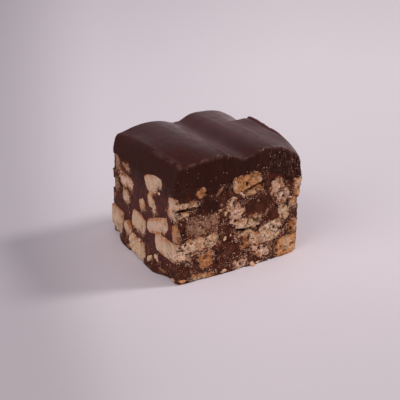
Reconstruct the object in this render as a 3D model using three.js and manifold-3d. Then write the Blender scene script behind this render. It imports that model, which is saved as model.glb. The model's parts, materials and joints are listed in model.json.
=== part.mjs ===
// Lazy cake: one square cut from a tray of chocolate and broken biscuits, under a thick chocolate topping.
//
// Millimetres, +Z up. The cake rests on z = 0, and the origin is under the middle of its bounding box.
// Until the last step everything is laid out from the block's front left bottom corner: X runs along the
// front cut, Y runs along the left cut towards the back.
//
// The pieces are the filling (chocolate mix with a pocket for each shard), the topping, and the broken
// biscuit shards that the four cuts and the base lay open. Every shard keeps a hairline gap to what holds it.

import * as THREE from "three";
import { ConvexGeometry } from "three/addons/geometries/ConvexGeometry.js";
import { mergeVertices } from "three/addons/utils/BufferGeometryUtils.js";
import Module from "manifold-3d";

const wasm = await Module();
wasm.setup();

// ---------------------------------------------------------------- driving dimensions

const WIDTH = 45; // the front cut, along X
const DEPTH = 43; // the left cut, along Y
const CREST = 36.7; // the topping's top at the front left corner
const FILL = 29.4; // where the filling ends and the topping starts, on average
const BISCUIT = 5; // thickness of the biscuits that were broken up
const GAP = 0.3; // between a shard and its pocket, and between the filling and the topping
const BASE_LIFT = 0.2; // the shards' lowest faces stay this far above the table

const BLOCK_CELLS = [16, 8, 5]; // facets of the cut block along X, Y and Z
const SEAM_CELLS = 8; // facets of the seam under the topping, each way
const SHARD_CORNERS = 6; // corners of a shard's broken outline
const FLARE_HEIGHT = 16; // the cuts lean outwards below this height

const COLOURS = {
  topping: { color: "#33201d", roughness: 0.42 },
  filling: { color: "#47281f", roughness: 0.7 },
  golden: { color: "#c08a4e", roughness: 0.85 },
  cream: { color: "#c4a283", roughness: 0.88 },
  rosy: { color: "#b8917f", roughness: 0.88 },
  toasted: { color: "#a9622f", roughness: 0.85 },
  dusty: { color: "#80604f", roughness: 0.92 },
};

// ---------------------------------------------------------------- shards

// One row for each shard that a cut lays open. `at` is its middle on the cut: the distance along the cut from
// its front or left end, and the height. `size` is the length and thickness that show, `tilt` is in degrees
// from level, as seen facing that cut with Z up. `reach` is how far it runs into the cake.

// The front cut, distances along +X.
const FRONT_SHARDS = [
  { at: [25, 28], size: [11.8, 5.2], tilt: 9, reach: 7, tone: "golden" },
  { at: [27.8, 24.9], size: [7, 1.8], tilt: 14, reach: 5, tone: "golden" },
  { at: [37.8, 22.6], size: [9, 4.8], tilt: -50, reach: 6, tone: "rosy" },
  { at: [39.7, 15.3], size: [6, 3.4], tilt: -62, reach: 5, tone: "cream" },
  { at: [34.4, 9.9], size: [9.4, 6], tilt: 16, reach: 8, tone: "cream" },
  { at: [28.4, 8.7], size: [4.4, 3.2], tilt: -24, reach: 5, tone: "cream" },
  { at: [25.8, 14.5], size: [10.2, 3.8], tilt: 5, reach: 8, tone: "cream" },
  { at: [24, 11.3], size: [6, 2.1], tilt: 3, reach: 5, tone: "cream" },
  { at: [20.5, 20.4], size: [7.4, 4.2], tilt: -54, reach: 6, tone: "rosy" },
  { at: [43.5, 18], size: [4.4, 3.4], tilt: 72, reach: 5, tone: "golden" },
  { at: [9.1, 17.5], size: [12.2, 5.8], tilt: -3, reach: 7, tone: "dusty" },
  { at: [9.3, 12], size: [13, 4.3], tilt: 2, reach: 8, tone: "cream" },
  { at: [9.8, 6.2], size: [5.6, 4.9], tilt: 12, reach: 5, tone: "toasted" },
  { at: [4.2, 24.9], size: [7.4, 2.2], tilt: -1, reach: 6, tone: "cream" },
  { at: [2.4, 22], size: [3.8, 1.8], tilt: -4, reach: 5, tone: "cream" },
  { at: [9, 1.1], size: [9, 1.8], tilt: -3, reach: 6, tone: "golden" },
  { at: [22.4, 1.7], size: [4.8, 2.8], tilt: 8, reach: 4, tone: "rosy" },
  { at: [30.4, 4.4], size: [7.8, 2.8], tilt: -36, reach: 5, tone: "rosy" },
  { at: [8.8, 27.9], size: [3.4, 2.9], tilt: 30, reach: 4, tone: "toasted" },
  { at: [24.4, 7.6], size: [3.4, 2.9], tilt: 40, reach: 4, tone: "golden" },
];

// The left cut, distances along +Y from the front; a positive tilt rises towards the front.
const LEFT_SHARDS = [
  { at: [13.7, 28.2], size: [12, 5.6], tilt: 29, reach: 7, tone: "cream" },
  { at: [14.8, 21], size: [6.6, 3.6], tilt: -38, reach: 5, tone: "cream" },
  { at: [22.2, 18], size: [4.4, 3.6], tilt: 30, reach: 4, tone: "golden" },
  { at: [24.6, 11.2], size: [11.4, 5.4], tilt: -4, reach: 8, tone: "cream" },
  { at: [11.5, 15], size: [15.4, 3.9], tilt: 20, reach: 7, tone: "rosy" },
  { at: [31.3, 6.7], size: [4.8, 3.2], tilt: -46, reach: 4, tone: "cream" },
  { at: [23.6, 3.1], size: [13, 5], tilt: -5, reach: 8, tone: "cream" },
  { at: [33.7, 22.3], size: [10, 3.8], tilt: 4, reach: 6, tone: "rosy" },
  { at: [41, 19.3], size: [4.6, 4], tilt: 20, reach: 5, tone: "dusty" },
  { at: [34.4, 16.8], size: [5.6, 3.6], tilt: -22, reach: 5, tone: "rosy" },
  { at: [33.4, 27.6], size: [6.2, 2.4], tilt: -4, reach: 4, tone: "dusty" },
  { at: [39.6, 27.2], size: [4.4, 5.2], tilt: 8, reach: 4, tone: "dusty" },
];

// Shards on a vertical edge of the block, which two cuts lay open: their middle in the block, their size
// along X, Y and Z, and a turn about X and Y.
const CORNER_SHARDS = [
  { at: [0.8, 4.6, 10.1], size: [11, 18.6, BISCUIT], turn: [-4, 14], tone: "cream" },
  { at: [0.2, 0.6, 23.9], size: [2.9, 7.6, 6.6], turn: [12, 4], tone: "rosy" },
  { at: [0.4, 0.8, 16.2], size: [2.6, 4.4, 6], turn: [10, -12], tone: "toasted" },
  { at: [45.4, 0.4, 22.9], size: [5.8, 9, 5.4], turn: [0, 4], tone: "golden" },
  { at: [44.4, 0.6, 9.4], size: [6.4, 6, 5], turn: [8, 0], tone: "toasted" },
  { at: [42.6, 0.6, 3.2], size: [14, 12.4, 6.4], turn: [0, -9], tone: "golden" },
  { at: [-0.6, 43.4, 6.6], size: [8, 14, 7.6], turn: [8, 6], tone: "cream" },
];

// The right and back cuts are laid out by rows: heights of the rows, shards in each row, and the spread that
// moves each one off its place.
const HIDDEN_ROWS = [5, 13, 21.4];
const HIDDEN_PER_ROW = 3;
const HIDDEN_LENGTH = [8.5, 12.5];
const HIDDEN_THICK = [3.8, 6];
const HIDDEN_MARGIN = 8; // from the ends of the cut to the first and last shard
const HIDDEN_TONES = ["cream", "golden", "rosy", "cream", "dusty", "toasted"];

// ---------------------------------------------------------------- small helpers

// A repeatable source of numbers from 0 to 1 (mulberry32).
function randomFrom(seed) {
  let state = seed >>> 0;
  return () => {
    state = (state + 0x6d2b79f5) >>> 0;
    let t = Math.imul(state ^ (state >>> 15), 1 | state);
    t = (t + Math.imul(t ^ (t >>> 7), 61 | t)) ^ t;
    return ((t ^ (t >>> 14)) >>> 0) / 4294967296;
  };
}

const between = (random, [low, high]) => low + (high - low) * random();
const bell = (value, middle, spread) => Math.exp(-((value - middle) ** 2) / (2 * spread ** 2));
const step = (value, from, to) => THREE.MathUtils.smoothstep(value, from, to);
const radians = THREE.MathUtils.degToRad;

// A three.js geometry as a manifold solid, and back.
function toSolid(geometry) {
  const bare = geometry.clone();
  bare.deleteAttribute("normal");
  bare.deleteAttribute("uv");
  const merged = mergeVertices(bare, 1e-4);
  return new wasm.Manifold(
    new wasm.Mesh({
      numProp: 3,
      vertProperties: new Float32Array(merged.attributes.position.array),
      triVerts: new Uint32Array(merged.index.array),
    }),
  );
}

function toGeometry(solid) {
  const { numVert, numProp, vertProperties, triVerts } = solid.getMesh();
  const positions = new Float32Array(numVert * 3);
  for (let i = 0; i < numVert; i++) {
    positions.set(vertProperties.subarray(i * numProp, i * numProp + 3), i * 3);
  }
  const geometry = new THREE.BufferGeometry();
  geometry.setAttribute("position", new THREE.BufferAttribute(positions, 3));
  geometry.setIndex(new THREE.BufferAttribute(new Uint32Array(triVerts), 1));
  const faceted = geometry.toNonIndexed();
  faceted.computeVertexNormals();
  return faceted;
}

// The largest of the separate bodies that a cut leaves.
function largest(solid) {
  return solid.decompose().reduce((a, b) => (b.volume() > a.volume() ? b : a));
}

// A box of cells from corner `low` to corner `high`, each of its points moved by `place`.
function shapedBox(low, high, cells, place) {
  const size = high.clone().sub(low);
  const box = new THREE.BoxGeometry(size.x, size.y, size.z, ...cells);
  box.translate(low.x + size.x / 2, low.y + size.y / 2, low.z + size.z / 2);
  const points = box.attributes.position;
  const point = new THREE.Vector3();
  for (let i = 0; i < points.count; i++) {
    point.fromBufferAttribute(points, i);
    place(point);
    points.setXYZ(i, point.x, point.y, point.z);
  }
  return toSolid(box);
}

// ---------------------------------------------------------------- the block's form

// Height of the topping: two soft ridges run from front to back with a valley between them, the back is
// higher than the front, the right ridge is flatter there, and the front right corner droops. A lip stands up
// along the right cut and breaks off towards the back.
function topHeight(x, y) {
  const back = y / DEPTH;
  const leftRidge = (1.4 + 0.2 * back) * bell(x, 13.5, 6.5);
  const flat = Math.exp(-(((x - 34.3) / 10) ** 4));
  const rightRidge = (1.6 + 1.3 * back) * (bell(x, 33.5, 6.5) * (1 - back) + flat * back);
  const valley = (1.4 - 0.5 * back) * bell(x, 23.4, 2.6);
  const droop = 5.3 * Math.exp((x - WIDTH) / 4.6 - y / 6);
  const torn = step(y, 27.4, 28.6);
  const rightLip = bell(x, WIDTH, 3.5) * (1.8 * bell(y, 25, 6) * (1 - torn) + bell(y, 10.5, 5));
  const behindLip = 1.8 * bell(x, WIDTH, 4) * bell(y, 30.5, 4) * torn;
  const corners = (0.9 * bell(x, 0, 4) + 0.7 * bell(x, WIDTH, 6)) * bell(y, DEPTH, 8);
  return CREST + 0.3 * back + leftRidge + rightRidge - valley - droop + rightLip - behindLip - corners;
}

// Height of the seam between the filling and the topping.
function seamHeight(x, y) {
  const overShard = 1.9 * bell(x, 26, 5.5) * bell(y, 0, 9);
  const overLeftShard = 1.8 * bell(y, 12, 5) * bell(x, 0, 6);
  const rightSag = 3.6 * step(x, 33, 42) * bell(y, 0, 16);
  const roll = 0.7 * Math.sin(x / 5.2 + 1) * Math.cos(y / 6.4);
  return FILL + overShard + overLeftShard - rightSag + roll;
}

// How far each cut stands out of its plane. The lower part of the left and front cuts swells, the topping is
// drawn in along the left cut, the back leans out towards its foot, and the topping hangs over the right cut
// by a lip.
const foot = (z) => Math.max(0, 1 - z / FLARE_HEIGHT) ** 2;
const leftSwell = (y, z) =>
  (2.7 * step(y, 4.5, 11) * (1 - step(y, 31, 40)) + 0.6 * step(y, 38, DEPTH)) * foot(z) +
  0.5 * step(y, 30, DEPTH) -
  0.9 * step(z, 31, CREST);
const bow = (x) => Math.sqrt(Math.sin((Math.PI * Math.min(Math.max(x, 0), WIDTH)) / WIDTH));
const frontSwell = (x, z) => 1.5 * bow(x) * foot(z);
const backLean = (x, z) => 2.9 * Math.max(0, 1 - z / 32) + 0.5 * Math.sin(x / 6);
const rightLip = (y, z) => 1.0 * bell(z, 26, 2.2) + 0.5 + 0.5 * Math.sin(y / 7) * bell(z, 14, 10);

// The cut block: level shares of the height are stretched to the topping, each wall is swelled, and the four
// upright edges are eased by the product of two high powers.
function cutBlock() {
  const easing = 0.35;
  return shapedBox(new THREE.Vector3(0, 0, 0), new THREE.Vector3(WIDTH, DEPTH, 1), BLOCK_CELLS, (p) => {
    const across = p.x / WIDTH;
    const along = p.y / DEPTH;
    const [x, y] = [p.x, p.y];
    const z = p.z * topHeight(x, y);
    const edge = easing * ((2 * across - 1) * (2 * along - 1)) ** 8;
    const inX = edge * Math.sign(across - 0.5);
    const inY = edge * Math.sign(along - 0.5);
    p.x = x - inX - (1 - across) * leftSwell(y, z) + across * rightLip(y, z);
    p.y = y - inY - (1 - along) * frontSwell(x, z) + along * backLean(x, z);
    p.z = z;
  });
}

// Everything below the seam, moved by `shift`: it divides the block into filling and topping.
function belowSeam(shift) {
  const margin = 6;
  const low = new THREE.Vector3(-margin, -margin, -margin);
  const high = new THREE.Vector3(WIDTH + margin, DEPTH + margin, 1);
  return shapedBox(low, high, [SEAM_CELLS, SEAM_CELLS, 1], (p) => {
    if (p.z > 0) p.z = seamHeight(p.x, p.y) + shift;
  });
}

// ---------------------------------------------------------------- one shard

// A shard of biscuit, lying in its own XY plane: a ragged outline as an irregular oval, with a fuller waist
// half way between two smaller baked faces that are slid and tapered against each other.
function shard([long, wide, thick], random, grow) {
  const slide = 0.12 * (random() - 0.5) * long;
  const taper = 0.35 * (random() - 0.5);
  const start = random();
  const corners = [];
  for (let i = 0; i < SHARD_CORNERS; i++) {
    const angle = ((i + start * 0.5 + 0.3 * (random() - 0.5)) * 2 * Math.PI) / SHARD_CORNERS;
    const reach = 1.12 - 0.16 * random();
    const squareness = 1 / Math.max(Math.abs(Math.cos(angle)), Math.abs(Math.sin(angle))) ** 0.6;
    const x = reach * squareness * Math.cos(angle) * (long / 2 + grow);
    const y = reach * squareness * Math.sin(angle) * (wide / 2 + grow);
    const half = (thick / 2) * (1 + (taper * 2 * x) / long) + grow;
    corners.push(new THREE.Vector3(x, y, 0));
    corners.push(new THREE.Vector3(0.8 * x + slide, 0.84 * y, half));
    corners.push(new THREE.Vector3(0.8 * x - slide, 0.84 * y, -half));
  }
  return new ConvexGeometry(corners);
}

// The cuts by name: where a distance along the cut lies in the block, and the turn about Z that carries a
// shard's own X along the cut, to the right of someone who faces it.
const CUTS = {
  front: { place: (along, z) => [along, 0, z], heading: 0 },
  left: { place: (along, z) => [0, along, z], heading: -90 },
  right: { place: (along, z) => [WIDTH, along, z], heading: 90 },
  back: { place: (along, z) => [along, DEPTH + backLean(along, z), z], heading: 180 },
};

// Where a row of the tables above puts its shard: a matrix that carries it from its own frame to the block.
function cutPlacement(cut, row) {
  const place = new THREE.Object3D();
  place.rotation.order = "ZYX";
  place.rotation.set(0, radians(-row.tilt), radians(CUTS[cut].heading));
  place.position.set(...CUTS[cut].place(...row.at));
  place.updateMatrix();
  return place.matrix;
}

function cornerPlacement(row) {
  const place = new THREE.Object3D();
  place.rotation.set(radians(row.turn[0]), radians(row.turn[1]), 0);
  place.position.set(...row.at);
  place.updateMatrix();
  return place.matrix;
}

// Rows for a cut that is laid out by rule: level rows, alternate rows moved half a place, each shard shifted.
function hiddenRows(length, seed) {
  const random = randomFrom(seed);
  const rows = [];
  HIDDEN_ROWS.forEach((height, row) => {
    for (let i = 0; i < HIDDEN_PER_ROW; i++) {
      const share = (i + 0.25 * (row % 2)) / (HIDDEN_PER_ROW - 0.75);
      const along = HIDDEN_MARGIN + share * (length - 2 * HIDDEN_MARGIN) + 3 * (random() - 0.5);
      rows.push({
        at: [along, height + 2 * (random() - 0.5)],
        size: [between(random, HIDDEN_LENGTH), between(random, HIDDEN_THICK)],
        tilt: between(random, [-42, 42]),
        reach: between(random, [5, 8]),
        tone: HIDDEN_TONES[Math.floor(random() * HIDDEN_TONES.length)],
      });
    }
  });
  return rows;
}

// Every shard as { name, tone, size, matrix }, numbered within its cut.
function shardList() {
  const list = [];
  const add = (cut, rows, matrixOf, sizeOf) =>
    rows.forEach((row, i) => {
      const name = `biscuit_${cut}_${String(i + 1).padStart(2, "0")}`;
      list.push({ name, tone: row.tone, size: sizeOf(row), matrix: matrixOf(row) });
    });
  const cutSize = (row) => [row.size[0], 2 * row.reach, row.size[1]];
  add("corner", CORNER_SHARDS, cornerPlacement, (row) => row.size);
  add("front", FRONT_SHARDS, (row) => cutPlacement("front", row), cutSize);
  add("left", LEFT_SHARDS, (row) => cutPlacement("left", row), cutSize);
  add("right", hiddenRows(DEPTH, 7), (row) => cutPlacement("right", row), cutSize);
  add("back", hiddenRows(WIDTH, 23), (row) => cutPlacement("back", row), cutSize);
  return list;
}

// ---------------------------------------------------------------- assembly

const block = cutBlock();
const aboveTable = toSolid(new THREE.BoxGeometry(200, 200, 100).translate(0, 0, 50 + BASE_LIFT));
const shardBlock = block.intersect(aboveTable);

// Each shard is cut off at the block's walls, and by the pockets of the shards before it.
const pieces = [];
let pockets = null;
shardList().forEach(({ name, tone, size, matrix }, index) => {
  const seed = 101 + 13 * index;
  const pocket = toSolid(shard(size, randomFrom(seed), GAP).applyMatrix4(matrix));
  const own = toSolid(shard(size, randomFrom(seed), 0).applyMatrix4(matrix));
  let cut = own.intersect(shardBlock);
  if (pockets) cut = cut.subtract(pockets);
  pieces.push({ name, tone, solid: largest(cut) });
  pockets = pockets ? pockets.add(pocket) : pocket;
});

const filling = largest(block.intersect(belowSeam(-GAP / 2)).subtract(pockets));
const topping = largest(block.subtract(belowSeam(GAP / 2)).subtract(pockets));
pieces.unshift({ name: "filling", tone: "filling", solid: filling });
pieces.unshift({ name: "topping", tone: "topping", solid: topping });

const cake = new THREE.Group();
for (const { name, tone, solid } of pieces) {
  const material = new THREE.MeshStandardMaterial({ ...COLOURS[tone], metalness: 0 });
  const mesh = new THREE.Mesh(toGeometry(solid), material);
  mesh.name = name;
  cake.add(mesh);
}

// The origin goes under the middle of the whole cake.
const middle = new THREE.Box3().setFromObject(cake).getCenter(new THREE.Vector3());
cake.position.set(-middle.x, -middle.y, 0);

export default cake;
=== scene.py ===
"""One square of lazy cake: chocolate and broken tea biscuits under a thick chocolate topping.

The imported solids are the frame. Each piece made here stands for one of them: the topping, the filling
with its pockets, and every biscuit shard. Chips, crumbs and the stage are added round them. Lengths
inside the functions are millimetres from the block's front left bottom corner, X along the front cut
and Y towards the back.
"""

import json
import math

import bpy
import numpy as np
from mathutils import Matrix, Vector


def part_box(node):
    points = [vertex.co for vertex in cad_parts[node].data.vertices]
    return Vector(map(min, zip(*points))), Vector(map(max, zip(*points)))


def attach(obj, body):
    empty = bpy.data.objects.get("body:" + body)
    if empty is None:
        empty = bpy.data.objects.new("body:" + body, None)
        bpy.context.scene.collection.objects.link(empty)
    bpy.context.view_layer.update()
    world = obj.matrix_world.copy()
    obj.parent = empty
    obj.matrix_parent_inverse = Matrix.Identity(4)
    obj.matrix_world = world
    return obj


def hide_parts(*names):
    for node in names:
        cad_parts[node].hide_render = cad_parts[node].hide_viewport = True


bl_info = {
    "name": "Lazy Cake",
    "version": (1, 0, 0),
    "blender": (4, 5, 0),
    "location": "3D Viewport > Sidebar > Lazy Cake",
    "description": "Finishes one square of chocolate and biscuit cake around its solids",
    "category": "Add Mesh",
}

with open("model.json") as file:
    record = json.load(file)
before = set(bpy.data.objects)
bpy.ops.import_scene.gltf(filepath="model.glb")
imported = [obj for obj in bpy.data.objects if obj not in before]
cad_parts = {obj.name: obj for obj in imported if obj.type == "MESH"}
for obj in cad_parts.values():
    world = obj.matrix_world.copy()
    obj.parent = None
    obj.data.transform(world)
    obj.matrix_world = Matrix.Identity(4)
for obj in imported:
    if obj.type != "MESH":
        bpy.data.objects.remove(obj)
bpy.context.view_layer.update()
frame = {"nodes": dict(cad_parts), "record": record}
NODE_SLOTS = {part["node"]: part["material_slot"] for part in frame["record"]["subparts"]}

MM = 0.001
LEFT_OVERHANG = 0.18  # how far the topping's solid stands left of the block's corner
BLOCK_CORNER = np.array([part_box("topping")[0].x / MM + LEFT_OVERHANG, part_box("topping")[0].y / MM, 0.0])


def linear(code):
    """An sRGB hex colour such as "#c4a283" as linear red, green and blue."""
    parts = [int(code[i : i + 2], 16) / 255 for i in (1, 3, 5)]
    return tuple(c / 12.92 if c <= 0.04045 else ((c + 0.055) / 1.055) ** 2.4 for c in parts)


# ---------------------------------------------------------------- settings


def length_setting(name, description, default):
    """A length that a user may change, in metres."""
    return bpy.props.FloatProperty(
        name=name, description=description, default=default, min=0.0001, unit="LENGTH", precision=5
    )


def colour_setting(name, description, code):
    """A colour that a user may change, from its hex code."""
    return bpy.props.FloatVectorProperty(
        name=name, description=description, default=linear(code), min=0, max=1, size=3, subtype="COLOR"
    )


class CakeSizes(bpy.types.PropertyGroup):
    """Sizes of the cake. The block's own sizes follow the solids, and change only together with them."""

    width: length_setting("Width", "Length of the front cut", 0.045)
    depth: length_setting("Depth", "Length of the left cut", 0.043)
    crest: length_setting("Crest", "Height of the topping at the front left corner", 0.0367)
    seam: length_setting("Seam", "Average height at which the filling meets the topping", 0.0294)
    left_round: length_setting("Left rounding", "Radius of the topping's roll over the left cut", 0.0028)
    cell: length_setting("Cell", "Length of a mesh cell on the cut walls", 0.00026)
    pocket: length_setting("Pocket depth", "How far the chocolate draws back from a shard's face", 0.0013)
    crumbs: bpy.props.IntProperty(
        name="Crumbs", description="Number of loose crumbs on the four cuts", default=2400, min=0, max=4500
    )


class CakeColours(bpy.types.PropertyGroup):
    """Colours of the cake."""

    couverture: colour_setting("Topping", "Set dark chocolate", "#391915")
    mix: colour_setting("Filling", "Chocolate and crumb mix", "#5d3023")
    golden: colour_setting("Golden shard", "Well baked biscuit", "#cb8b5b")
    cream: colour_setting("Cream shard", "Pale inside of a biscuit", "#dfb592")
    rosy: colour_setting("Rosy shard", "Biscuit thinly smeared with chocolate", "#e6b89c")
    toasted: colour_setting("Toasted shard", "Browned side of a biscuit", "#b47349")
    dusty: colour_setting("Dusty shard", "Biscuit under a film of chocolate and crumbs", "#95664e")


# ---------------------------------------------------------------- numbers on whole arrays


FAR = 9.0  # stands for a distance where there is nothing near


def bell(value, middle, spread):
    """A bell curve of height 1: e to the power of minus half the squared distance in spreads."""
    return np.exp(-((value - middle) ** 2) / (2 * spread**2))


def step(value, start, end):
    """From 0 at start to 1 at end, as 3t^2 - 2t^3."""
    t = np.clip((value - start) / (end - start), 0, 1)
    return t * t * (3 - 2 * t)


def mix(low, high, share):
    """Low where share is 0, high where it is 1."""
    return low + (high - low) * share


def unit(vectors):
    """Each row divided by its length, and rows with no length left at zero."""
    return vectors / np.maximum(np.linalg.norm(vectors, axis=-1, keepdims=True), 1e-9)


# Odd multipliers that give neighbouring corners and seeds unlike numbers, and the size of those numbers.
X_STRIDE, Y_STRIDE, Z_STRIDE, SEED_STRIDE = 374761393, 668265263, 982451653, 144269
SCRAMBLE = 1274126177
WORD = 2**32


def lattice(cell, seed):
    """A repeatable number from -1 to 1 for each whole-numbered corner, from a hash of its indices."""
    mixed = cell[..., 0] * X_STRIDE + cell[..., 1] * Y_STRIDE + cell[..., 2] * Z_STRIDE + seed * SEED_STRIDE
    mixed = mixed & (WORD - 1)
    mixed = ((mixed ^ (mixed >> 13)) * SCRAMBLE) & (WORD - 1)
    return (mixed ^ (mixed >> 16)) / (WORD / 2) - 1.0


def noise(points, size, seed):
    """Smooth noise, about -1 to 1: the numbers of the eight lattice corners round a point, blended.

    The corners stand size apart, which may be one number or one for each axis."""
    place = points / np.asarray(size, float)
    low = np.floor(place).astype(np.int64)
    t = place - low
    t = t * t * (3 - 2 * t)
    total = np.zeros(len(points))
    for corner in np.ndindex(2, 2, 2):
        share = np.where(np.array(corner, bool), t, 1 - t).prod(axis=1)
        total += share * lattice(low + corner, seed)
    return total


def swirls(points, size, seed):
    """Noise in each of the three directions."""
    return np.stack([noise(points, size, seed + k) for k in range(3)], axis=1)


def dots(points, size, seed):
    """Dots scattered one to a lattice cell: the distance to the nearest, in cells, and its own number."""
    place = points / size
    low = np.floor(place).astype(np.int64)
    nearest = np.full(len(points), FAR)
    own = np.zeros(len(points))
    for corner in np.ndindex(3, 3, 3):
        cell = low + np.array(corner) - 1
        jitter = np.stack([lattice(cell, seed + 7 * k) for k in range(3)], axis=1)
        gap = np.linalg.norm(place - cell - 0.5 - 0.42 * jitter, axis=1)
        own = np.where(gap < nearest, lattice(cell, seed + 29), own)
        nearest = np.minimum(nearest, gap)
    return nearest, own


def pits(points, size, share, seed):
    """From 0 to 1 in the middle of a pit: a round hollow at a share of the scattered dots."""
    distance, own = dots(points, size, seed)
    return step(distance, 0.46, 0.2) * (own > 1 - 2 * share)


def box_grid(cells):
    """The six faces of a unit cube as grids of cells, welded along their edges: points and quads."""
    corners, quads, count = [], [], 0
    for axis in range(3):
        along, across = (axis + 1) % 3, (axis + 2) % 3
        u, v = np.meshgrid(np.arange(cells[along] + 1), np.arange(cells[across] + 1), indexing="ij")
        for side in (0, 1):
            face = np.zeros(u.shape + (3,), np.int64)
            face[..., axis] = side * cells[axis]
            face[..., along] = u
            face[..., across] = v
            index = count + np.arange(u.size).reshape(u.shape)
            quad = np.stack([index[:-1, :-1], index[1:, :-1], index[1:, 1:], index[:-1, 1:]], axis=-1)
            quad = quad.reshape(-1, 4)
            quads.append(quad if side else quad[:, ::-1])
            corners.append(face.reshape(-1, 3))
            count += u.size
    welded, place = np.unique(np.concatenate(corners), axis=0, return_inverse=True)
    return welded / np.array(cells, float), place.reshape(-1)[np.concatenate(quads)]


# ---------------------------------------------------------------- the block's form


class Block:
    """The plain block that the cuts leave, from the same formulas as the solids."""

    flare_height, back_flare_height = 16, 32  # the cuts lean outwards below these heights

    def __init__(self, sizes):
        self.width = sizes.width / MM
        self.depth = sizes.depth / MM
        self.crest = sizes.crest / MM
        self.fill = sizes.seam / MM

    def top(self, x, y):
        """Height of the topping over a place in the plan.

        Two ridges run along Y with a valley between, the right one flatter towards the back. The front
        right corner droops and the back corners sink. A lip along the right cut breaks off towards the
        back, and leaves a dip behind it."""
        back = y / self.depth
        left_ridge = (1.4 + 0.2 * back) * bell(x, 13.5, 6.5)
        flat = np.exp(-(((x - 34.3) / 10) ** 4))
        right_ridge = (1.6 + 1.3 * back) * mix(bell(x, 33.5, 6.5), flat, back)
        valley = (1.4 - 0.5 * back) * bell(x, 23.4, 2.6)
        droop = 5.3 * np.exp((x - self.width) / 4.6 - y / 6)
        torn = step(y, 27.4, 28.6)
        right_lip = bell(x, self.width, 3.5) * (1.8 * bell(y, 25, 6) * (1 - torn) + bell(y, 10.5, 5))
        behind_lip = 1.8 * bell(x, self.width, 4) * bell(y, 30.5, 4) * torn
        corners = (0.9 * bell(x, 0, 4) + 0.7 * bell(x, self.width, 6)) * bell(y, self.depth, 8)
        ridges = self.crest + 0.3 * back + left_ridge + right_ridge
        return ridges - valley - droop + right_lip - behind_lip - corners

    def seam(self, x, y):
        """Height of the seam under the topping: wavy, high over two big shards, low at the front right."""
        over_shard = 1.9 * bell(x, 26, 5.5) * bell(y, 0, 9)
        over_left_shard = 1.8 * bell(y, 12, 5) * bell(x, 0, 6)
        right_sag = 3.6 * step(x, 33, 42) * bell(y, 0, 16)
        waves = 0.7 * np.sin(x / 5.2 + 1) * np.cos(y / 6.4)
        return self.fill + over_shard + over_left_shard - right_sag + waves

    def lean(self, points):
        """Points of a straight-sided block moved to the real walls, with swelled feet and a leaning back.

        Each cut's own shift fades out evenly towards the cut across from it."""
        x, y, z = points.T
        foot = np.maximum(0, 1 - z / self.flare_height) ** 2
        left = (2.7 * step(y, 4.5, 11) * (1 - step(y, 31, 40)) + 0.6 * step(y, 38, self.depth)) * foot
        left += 0.5 * step(y, 30, self.depth) - 0.9 * step(z, 31, self.crest)
        front = 1.5 * np.sqrt(np.sin(np.pi * np.clip(x, 0, self.width) / self.width)) * foot
        back = 2.9 * np.maximum(0, 1 - z / self.back_flare_height) + 0.5 * np.sin(x / 6)
        right = 1.0 * bell(z, 26, 2.2) + 0.5 + 0.5 * np.sin(y / 7) * bell(z, 14, 10)
        across, along = x / self.width, y / self.depth
        x = x - (1 - across) * left + across * right
        y = y - (1 - along) * front + along * back
        return np.stack([x, y, z], axis=1)

    def wall_shares(self, points):
        """How much each point belongs to the front, left, right and back cut: nearness, as shares of 1."""
        x, y = points[:, 0], points[:, 1]
        gaps = np.stack([y + 0.3, x + 1.0, self.width - x, self.depth + 1.5 - y], axis=1)
        near = np.exp(-np.maximum(gaps, 0) / 0.8)
        return near / near.sum(axis=1, keepdims=True)

    def crumbliness(self, points):
        """From 0 on a clean knife cut to 1 on a broken one.

        The front is broken all over, and the right and the back cut partly. The left cut is clean, but for
        its foot and its upper back."""
        front, left, right, back = self.wall_shares(points).T
        clean = 0.14 + 0.45 * step(points[:, 2], 8, 2)
        clean = np.maximum(clean, 0.7 * step(points[:, 1], 27.5, 31) * step(points[:, 2], 14, 18))
        return front + clean * left + 0.8 * right + 0.55 * back


# ---------------------------------------------------------------- meshes


def add_mesh(name, points, faces, attributes=None, smooth=True):
    """A mesh object from millimetre points in the block's own frame, and its vertex attributes."""
    placed = ((points + BLOCK_CORNER) * MM).astype(np.float32)
    groups = faces if isinstance(faces, list) else [faces]
    loops = np.concatenate([group.reshape(-1) for group in groups]).astype(np.int32)
    sizes = np.concatenate([np.full(len(group), group.shape[1]) for group in groups])
    mesh = bpy.data.meshes.new(name)
    mesh.vertices.add(len(placed))
    mesh.vertices.foreach_set("co", placed.ravel())
    mesh.loops.add(len(loops))
    mesh.loops.foreach_set("vertex_index", loops)
    mesh.polygons.add(len(sizes))
    mesh.polygons.foreach_set("loop_start", (np.cumsum(sizes) - sizes).astype(np.int32))
    mesh.polygons.foreach_set("use_smooth", np.full(len(sizes), smooth))
    for key, values in (attributes or {}).items():
        if values.ndim == 1:
            mesh.attributes.new(key, "FLOAT", "POINT").data.foreach_set("value", values.astype(np.float32))
        else:
            colour = np.concatenate([values, np.ones((len(values), 1))], axis=1)
            layer = mesh.attributes.new(key, "FLOAT_COLOR", "POINT")
            layer.data.foreach_set("color", colour.astype(np.float32).ravel())
    mesh.update(calc_edges=True)
    if mesh.validate():
        raise RuntimeError(f"{name} has faces that had to be mended")
    piece = bpy.data.objects.new(name, mesh)
    bpy.context.scene.collection.objects.link(piece)
    return piece


def hang(piece, slot, *nodes):
    """The piece rides on the cake's one body and stands for the CAD nodes, which it hides. The slot is not
    used.
    """
    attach(piece, "root")
    if nodes:
        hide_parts(*nodes)


# ---------------------------------------------------------------- shards, read from the solids


CUT_DIRECTIONS = {
    "front": (0, -1, 0),
    "left": (-1, 0, 0),
    "right": (1, 0, 0),
    "back": (0, 1, 0),
    "base": (0, 0, -1),
}
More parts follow.
